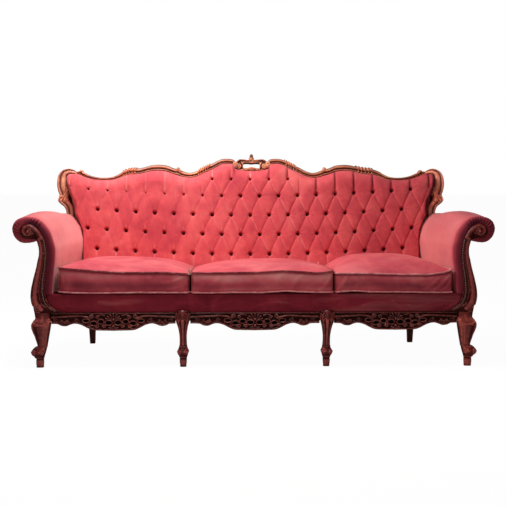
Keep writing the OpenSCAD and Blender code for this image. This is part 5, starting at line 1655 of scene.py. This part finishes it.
# %% Aprons
def apron(label, x0, x1, nx=470, nz=52):
    """One apron between two legs. A point p near an oval moves to its centre + (p - centre) / r,
    where r is the point's distance from the centre in ovals."""
    half, middle = (x1 - x0) / 2, (x0 + x1) / 2
    low = bay_edge(half)
    gx = np.linspace(-half, half, nx)[:, None]
    drop = np.interp(np.abs(gx), low[:, 0], low[:, 1])
    gz = drop * np.linspace(0, 1, nz)[None]
    flat = joined(gx, gz)
    holes = [(s * cx, cz, rx, rz) for s in (-1, 1) for cx, cz, rx, rz in PIERCINGS]
    for cx, cz, rx, rz in holes:
        d = flat - [cx, cz]
        r = np.sqrt((d[..., 0] / rx) ** 2 + (d[..., 1] / rz) ** 2)
        pull = (np.abs(r - 1) < 0.11) & (r > 0)
        flat[pull] = [cx, cz] + d[pull] / r[pull][:, None]
    mid = (flat[1:, 1:] + flat[:-1, 1:] + flat[1:, :-1] + flat[:-1, :-1]) / 4
    solid = np.ones(mid.shape[:2], bool)
    for cx, cz, rx, rz in holes:
        solid &= ((mid[..., 0] - cx) / rx) ** 2 + ((mid[..., 1] - cz) / rz) ** 2 > 1
    outline = np.concatenate([low, low[::-1] * [-1, 1]])
    lift = lambda x, y, z: joined(x + middle, y, APRON_TOP + z)
    carved("carved_apron_" + label, flat, -31.0, -13.4, bay_lines(half), outline, CARVED_X, depth=11.2,
           node="apron_" + label, place=lift, mask=solid, radius=4.0, deep=0.2, floor=0.03)
    span = np.linspace(-148, 148, 60)[:, None]
    rows = np.interp(np.abs(span), low[:, 0], low[:, 1]) * np.linspace(0.06, 0.9, 12)[None]
    spot = lambda y: metres(joined(span + middle, y, APRON_TOP + rows))
    panel("apron_lining_" + label, spot(-13.3), spot(-10.5), "frame", LINING)


apron("left", -955.7, -375.3)
apron("middle", -304.7, 304.7)
apron("right", 375.3, 955.7)
print("aprons carved")

# %% [markdown]
# ## Shape of a front leg
# A cabriole leg is a stack of rounded rings: the knee swells forward, the ankle is thin and the
# scrolled foot stands on a peg. The table gives each ring's height, sides, front and back.

# %% Leg shape
SQUARENESS = 0.62
CORNER_LEG = [
    (262, 22, 90, -50, -10.3), (240, 20, 93, -53, -10.3), (224, 19, 103, -57, -10.3), (218, 19, 109, -58.5, -10.3),
    (205, 20, 116, -59, 2), (188, 24, 116, -57, 12), (154, 32, 105, -46, 20), (122, 38, 95, -37, 16),
    (102, 42, 92, -33, 15), (94, 44, 106, -45, 15), (80, 47, 117, -54, 14), (66, 51, 115, -52, 12),
    (52, 56, 106, -40, 9), (42, 59, 99, -30, 8), (36, 60, 98, -27, 7), (0, 62, 96, -24, 6)]
INNER_LEG = [
    (273, -27, 27, -43, -10.3), (266, -35, 35, -50, -10.3), (252, -37, 37, -55, -10.3), (234, -35, 35, -59, -10.3),
    (218, -33, 33, -60, -10.3), (205, -29, 29, -59, 0), (185, -24, 24, -54, 9), (146, -19, 19, -38, 14),
    (102, -20, 20, -27, 14), (88, -23, 23, -34, 15), (76, -29, 29, -48, 14), (66, -26, 26, -48, 12),
    (52, -22, 22, -36, 9), (44, -19, 19, -28, 8), (0, -15, 15, -20, 5)]


def carved_leg(name, table, x, side, node, lines, depth=5.0, sides=110, steps=16):
    """A carved leg: rings |cos a|^0.62, |sin a|^0.62, sunk where the carving is low. Carving is drawn
    on the skin unrolled flat: across is the way round from the front, in mm."""
    v = smooth(table, steps)[::-1]
    a = np.linspace(0, 2 * np.pi, sides, endpoint=False)[None]
    ux, uy = (np.sign(w) * np.abs(w) ** SQUARENESS for w in (np.cos(a), np.sin(a)))
    z, x0, x1, y0, y1 = (v[:, k:k + 1] for k in range(5))
    px, py = (x0 + x1) / 2 + (x1 - x0) / 2 * ux, (y0 + y1) / 2 + (y1 - y0) / 2 * uy
    turn = np.mod(a - 1.5 * np.pi + np.pi, 2 * np.pi) - np.pi
    across = turn * (x1 - x0 + y1 - y0) / 4
    high = ridges(joined(across, z), lines)
    high = high + 1.2 * wrinkle(across, z, 78, 5.0, 2) * (high > 0.6)
    fade = np.clip((z - 1) / 8, 0, 1)
    sink = depth * (1 - high / 9) * np.clip(1.6 - np.abs(turn) / 1.5, 0, 1) * fade
    size = np.maximum(np.hypot(ux, uy), 0.5)
    px, py = px - ux / size * sink, py - uy / size * sink
    rings = joined(side * (x + px), py, z)
    if side < 0:
        rings = rings[:, ::-1]
        high = high[:, ::-1]
    # Relief number: proud wood paler with a painted highlight, the ground dark, all darker towards the neck at the top;
    # the right front leg takes the lighter wood, painted light.
    tone = np.maximum(np.clip(high / PROUD, 0, 1) ** 1.5 * (1 - 0.5 * ease((z - 226) / 22)), 0.06)
    wood = CARVED_WOOD_PAINTED_LIGHTER if node == "front_leg_right" else CARVED_Z
    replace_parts(skin(name, metres(rings), "frame", wood, relief=tone), node)


print("leg tables of", len(CORNER_LEG), "and", len(INNER_LEG), "rings")

# %% [markdown]
# ## Carved front legs
# A leaf hangs over each knee between two scrolls, smooth rolls run down the shin, and the foot
# curls into a scroll on each side. A corner leg turns outwards, so its rolls differ from side to
# side; an inner leg is the same on both.

# %% Legs
def across(z, w, h, reach=60):
    """A band round the leg at the height z."""
    return np.linspace([-reach, z], [reach, z], 60), w, h


KNEE = leaf((0, 246), (0, 206), 20, 3, 3.4, 8.5) + [([[0, 270], [0, 244]], 40, 6.2)]
KNEE += [(smooth([[34, 214], [35, 186], [29, 150], [24, 110]], 10), (15, 6), 6.6)]
KNEE += [(smooth([[-24, 216], [-22, 180], [-17, 140], [-11, 106]], 10), (35, 24), 6.8)]
KNEE += [(smooth([[-10, 206], [-9, 180], [-6, 140], [-2, 106]], 10), 2.6, 8.8)]
KNEE += [(smooth([[s * 42, 226], [s * 24, 216], [s * 8, 208], [-s * 12, 202]], 10), (4.4, 3.6), 10.5) for s in (-1, 1)]
KNEE += [(spiral((s * 26, 228), 10, 3, 0.5 if s > 0 else 2.6, s * 1.3, 60), 3.4, 9.3) for s in (-1, 1)]
FOOT = [(spiral((s * 21, 76), 16, 3, 1.5, -s * 1.4, 70), (5.6, 4.2), 9.4) for s in (-1, 1)]
FOOT += [([[s * 21.0, 76.0]], 6, 9.8) for s in (-1, 1)]
FOOT += [across(47, 3.4, 8), across(56, 2.6, 5), across(97, 3.6, 7), across(20, 20, 8.2), across(76, 20, 3.6, 80)]
INNER_KNEE = leaf((0, 272), (0, 226), 17, 4, 3.2, 8.5) + [(np.linspace([0, 226], [0, 104], 40), (4.0, 3.4), 8)]
for s in (-1, 1):
    INNER_KNEE += [(smooth([[s * 36, 246], [s * 30, 210], [s * 22, 170], [s * 16, 104]], 10), (4.5, 3.6), 8.5),
                   (smooth([[s * 18, 236], [s * 15, 205], [s * 11, 165], [s * 8, 104]], 10), (4.2, 3.0), 7),
                   (spiral((s * 28, 250), 10, 3, 0.5 if s > 0 else 2.6, s * 1.2, 60), 3.4, 8.5)]
for side, label in SIDES:
    carved_leg("carved_corner_leg_" + label, CORNER_LEG, SEAT_HALF, side, "front_leg_" + label, KNEE + FOOT)
    carved_leg("carved_inner_leg_" + label, INNER_LEG, 340, side, "front_leg_inner_" + label, INNER_KNEE + FOOT)
print("legs carved")

# %% [markdown]
# ## Mouldings of the back
# The crest is a moulding with two reeds that follows the wavy edge of the back. Knobs and leaf
# clusters rise over it where its curves meet. The drawing lies in the plane of the leaning back:
# across is x and up is the way up the back.

# %% Mouldings
def moulding(v, parts):
    """Section of a moulding at v from its outer edge 0 to its inner edge 1: the highest of some
    half ellipses, each with its middle, half-width and height."""
    return np.max([h * np.sqrt(np.clip(1 - ((v - c) / w) ** 2, 0, 1)) for c, w, h in parts], axis=0)


def crest_bump(x, clusters):
    """How far knobs and leaf clusters rise over the crest's edge."""
    knobs = [h * np.sqrt(np.clip(1 - ((x - c) / w) ** 2, 0, 1)) for c, w, h in ((398, 9, 12), (925, 10, 11))]
    leaves = [(2.5 + 6.0 * np.abs(np.sin(2.5 * np.pi * (x - c) / w))) * (np.abs(x - c) < w) for c, w in clusters]
    return np.max(knobs + leaves, axis=0)


def rail(name, pairs, lines, node, side, material, parts, n=14, nv=30, low=9.0, depth=28.0, clusters=(), under=0.0):
    """Carved moulding between two paired edges. It stands forward by 0.44 of its depth at the rounded
    rims, 0.32 of it more by the reeds and 0.24 more by the carving."""
    flat = between(pairs, n, nv)
    p = smooth(pairs, n)
    width = np.linalg.norm(p[:, :2] - p[:, 2:], axis=1)[:, None]
    v = np.linspace(0, 1, nv)[None]
    if clusters:
        flat[..., 1] += crest_bump(p[:, :1], clusters) * (1 - v) ** 2
    high = ridges(flat, lines)
    reed = moulding(v, parts)
    rimmed = rounded(np.minimum(v, 1 - v) * width, 6.0)
    t = low - rimmed * (depth * 0.44 + depth * 0.32 * reed + depth * 0.24 * high / 9)
    # Reed crowns rubbed pale with a painted highlight; painted shade in the grooves, at the rims and, with `under`, on
    # the inner side of a post below its knuckle.
    reed_wear_and_highlight = 0.68 * reed ** 2.2 + 0.1 * wrinkle(p[:, :1], 30 * v, 55, 60.0, 3)
    tone = np.clip(np.maximum((high / PROUD) ** 1.6, reed_wear_and_highlight), 0, 1) * (0.3 + 0.7 * rimmed)
    tone = np.maximum(tone, 0.06) * (1 - under * ease((v - 0.6) / 0.22) * ease((492 - flat[..., 1]) / 30))
    x = side * flat[..., 0]
    face, rear = metres(lean(x, t, flat[..., 1])), metres(lean(x, 29.8 + 0 * x, flat[..., 1]))
    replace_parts(panel(name, face, rear, "frame", material, tone), node)


print("mouldings ready")

# %% [markdown]
# ## Crest, posts and ears
# The crest carries two leaf clusters on each side. On the real sofa the left ones sit further out
# than the right, so each side has its own places. The posts curl over at the top into ears.

# %% Crest and posts
def crest_line(f, x0, x1):
    """Part of a line along the crest, at the share f of the way from its outer to its inner edge."""
    p = smooth(CREST_PAIRS, 10)
    q = p[:, :2] * (1 - f) + p[:, 2:] * f
    return q[(q[:, 0] >= x0) & (q[:, 0] <= x1)]


CREST_MOULD = ((0.34, 0.22, 1.0), (0.75, 0.13, 0.85))
EAR_MOULD = ((0.14, 0.15, 0.9), (0.62, 0.31, 1.0))
CLUSTERS = {-1: ((258, 33), (661, 40)), 1: ((212, 33), (617, 46))}


def crest_lines(clusters):
    """Five leaves and a band for each cluster, and a knob with its scroll at two places."""
    lines = []
    for centre, reach in clusters:
        for k in range(5):
            x = centre + (k - 2) * 0.4 * reach
            top, foot = crest_line(-0.12, x - 6, x + 4)[0], crest_line(0.85, x + 3, x + 14)[0]
            lines.append((smooth([foot, (foot + top) / 2 + [5, 0], top], 8), (3.4, 4.4), (7, 10)))
        lines.append((crest_line(0.9, centre - reach - 3, centre + reach + 3), 2.6, 7.5))
    for x, s in ((398, 624), (925, 609)):
        lines += [([[x, s]], 9.0, 10), (spiral((x - 14, s - 12), 8, 3, 0.5, 1.3, 60), (3.4, 3.0), 8.5)]
    return lines


POST_LINES = [(spiral((998, 500), 16, 5, 1.2, 1.5, 80), (3.6, 3.0), 9.3), ([[998.0, 500.0]], 5.0, 10)]
for k in range(4):
    curl = smooth([[980 + 19 * k, 476 - 4 * k], [990 + 18 * k, 457 - 2 * k], [1004 + 14 * k, 440 + k]], 8)
    POST_LINES.append((curl, (5.0, 4.0), (9.3, 10)))
POST_LINES += [(smooth([[966, 470], [984, 480], [1010, 476], [1040, 464]], 8), 3.6, 9.3)]
for side, label in SIDES:
    rail("carved_crest_" + label, CREST_PAIRS, crest_lines(CLUSTERS[side]), "crest_" + label, side, CREST_WOOD,
         CREST_MOULD, clusters=CLUSTERS[side])
    rail("carved_post_" + label, POST_PAIRS, POST_LINES, "back_post_" + label, side,
         EAR_WOOD if side < 0 else EAR_WOOD_PAINTED_LIGHTER, EAR_MOULD, n=12, nv=34, under=1.0)
print("crest and posts carved")

# %% [markdown]
# ## The middle of the crest
# A pierced plate sits between the two halves of the crest. Its grid is drawn in three bands, above,
# through and below the slot, so the slot is a real hole with clean edges.

# %% Crest plate
SLOT_HALF, PLATE_EDGE = 46, 83.6
SLOT_TOP = smooth([[-SLOT_HALF, 636], [-44, 650], [-20, 652], [0, 650], [20, 652], [44, 650], [SLOT_HALF, 636]], 8)
SLOT_LOW = smooth([[-SLOT_HALF, 636], [-42, 626], [-24, 625], [0, 631], [24, 625], [42, 626], [SLOT_HALF, 636]], 8)
TOP_EDGE = smooth([[-PLATE_EDGE, 662], [-66, 674], [-42, 674], [-18, 671], [0, 676], [18, 671], [42, 674], [66, 674],
                   [PLATE_EDGE, 662]], 8)
ox = np.linspace(-PLATE_EDGE, PLATE_EDGE, 141)
for x in (SLOT_HALF, -SLOT_HALF):
    ox[np.abs(ox - x) < 0.7] = x
top = np.interp(ox, *TOP_EDGE.T)
slot_top, slot_low = (np.interp(ox, *edge.T) for edge in (SLOT_TOP, SLOT_LOW))
foot = crest_under(ox)
rows = lambda a, b, n: a[:, None] + (b - a)[:, None] * np.linspace(0, 1, n)[None]
plate_z = np.concatenate([rows(top, slot_top, 12), rows(slot_top, slot_low, 8)[:, 1:],
                          rows(slot_low, foot, 16)[:, 1:]], 1)
plate = joined(ox[:, None], plate_z)
inside = np.abs(ox[:-1] + ox[1:]) / 2 < 45.9
open_cells = np.ones((len(ox) - 1, plate_z.shape[1] - 1), bool)
open_cells[inside, 11:18] = False
ORNAMENT = [(spiral((70, 636), 15, 3.5, 1.6, -1.5, 70), (4.2, 3.6), 9.5), ([[70.0, 636.0]], 5.5, 10),
            (SLOT_TOP[SLOT_TOP[:, 0] >= 0] + [0, 5], 3.6, 8.5), (SLOT_LOW[SLOT_LOW[:, 0] >= 0] - [0, 5.5], 3.6, 8.5),
            ([[48.5, 640], [50, 648], [54, 656]], 3.4, 8), (TOP_EDGE[TOP_EDGE[:, 0] >= 0] - [0, 4], 3.2, 8),
            (smooth([[0, 612], [24, 613], [48, 614], [66, 617]], 6), 3, 7)]
ORNAMENT = both_sides(ORNAMENT)
for k in range(-3, 4):
    ORNAMENT.append((np.linspace([3.0 * k, 614], [7.5 * k, 630 - abs(k) * 1.2], 14), (2.0, 3.2), (6, 9.5)))
    ORNAMENT.append((np.linspace([2.0 * k, 658], [6.0 * k, 673], 12), (1.8, 3.0), (6, 9.5)))
slot_loop = np.concatenate([SLOT_TOP, SLOT_LOW[::-1]])
carved("crest_ornament", plate, -5.0, 19.6, ORNAMENT, np.concatenate([TOP_EDGE, slot_loop]), CREST_WOOD, depth=10.8,
       node="crest_center", place=lean, mask=open_cells, radius=4.0, deep=0.2)
print("crest plate carved with", len(ORNAMENT), "lines")

# %% [markdown]
# ## Finial and volutes
# A small turned knob with six soft lobes stands on the plate, and a round volute covers each joint
# between the plate and the crest.

# %% Finial and volutes
def lathe_rings(profile, centre_t, base_s, sides=36):
    """Turned knob on the leaning back: rings of radius r (1 + 0.07 cos 6a) at height h."""
    p = smooth(profile, 5)
    a = np.linspace(0, 2 * np.pi, sides, endpoint=False)[None]
    r, h = p[:, :1], p[:, 1:]
    lobes = 1 + 0.07 * np.cos(6 * a)
    return metres(lean(r * lobes * np.cos(a), centre_t + r * lobes * np.sin(a), base_s + h + 0 * a))


finial = lathe_rings([(8, -2), (9, 2), (13, 6), (13.5, 10), (9.4, 14), (9.2, 20), (8.2, 26), (5.0, 32),
                      (0.9, 35)], 0.0, 670)
up = np.linspace(0, 1, len(finial))[:, None]
# Painted highlight: a pale band round the lower bulge of the knob.
knob_tone = 0.15 + 0.7 * bell(up - 0.25, 0.16) + 0 * finial[..., 0]
skin("crest_finial", finial, "frame", CREST_WOOD, relief=knob_tone)
BOSS = [(spiral((0, 0), 12, 2.5, 1.5, 1.4, 70), (4.4, 3.6), 9.5), ([[0.0, 0.0]], 5.0, 10),
        (spiral((0, 0), 14.2, 14.2, 0, 6.3 / (2 * np.pi), 60), 3.0, 8)]
boss = disc(np.zeros(2), lambda a: 17.0 + 0 * a, 44)
for side, label in SIDES:
    carved("crest_scroll_" + label, boss, -14.0, 8.0, BOSS, None, CREST_WOOD, depth=9.0,
           place=lambda x, y, z, side=side: lean(x + side * PLATE_HALF, y + 0.05 * (x * x + z * z) ** 0.5, z + 640),
           deep=0.2)
print("finial and volutes made")
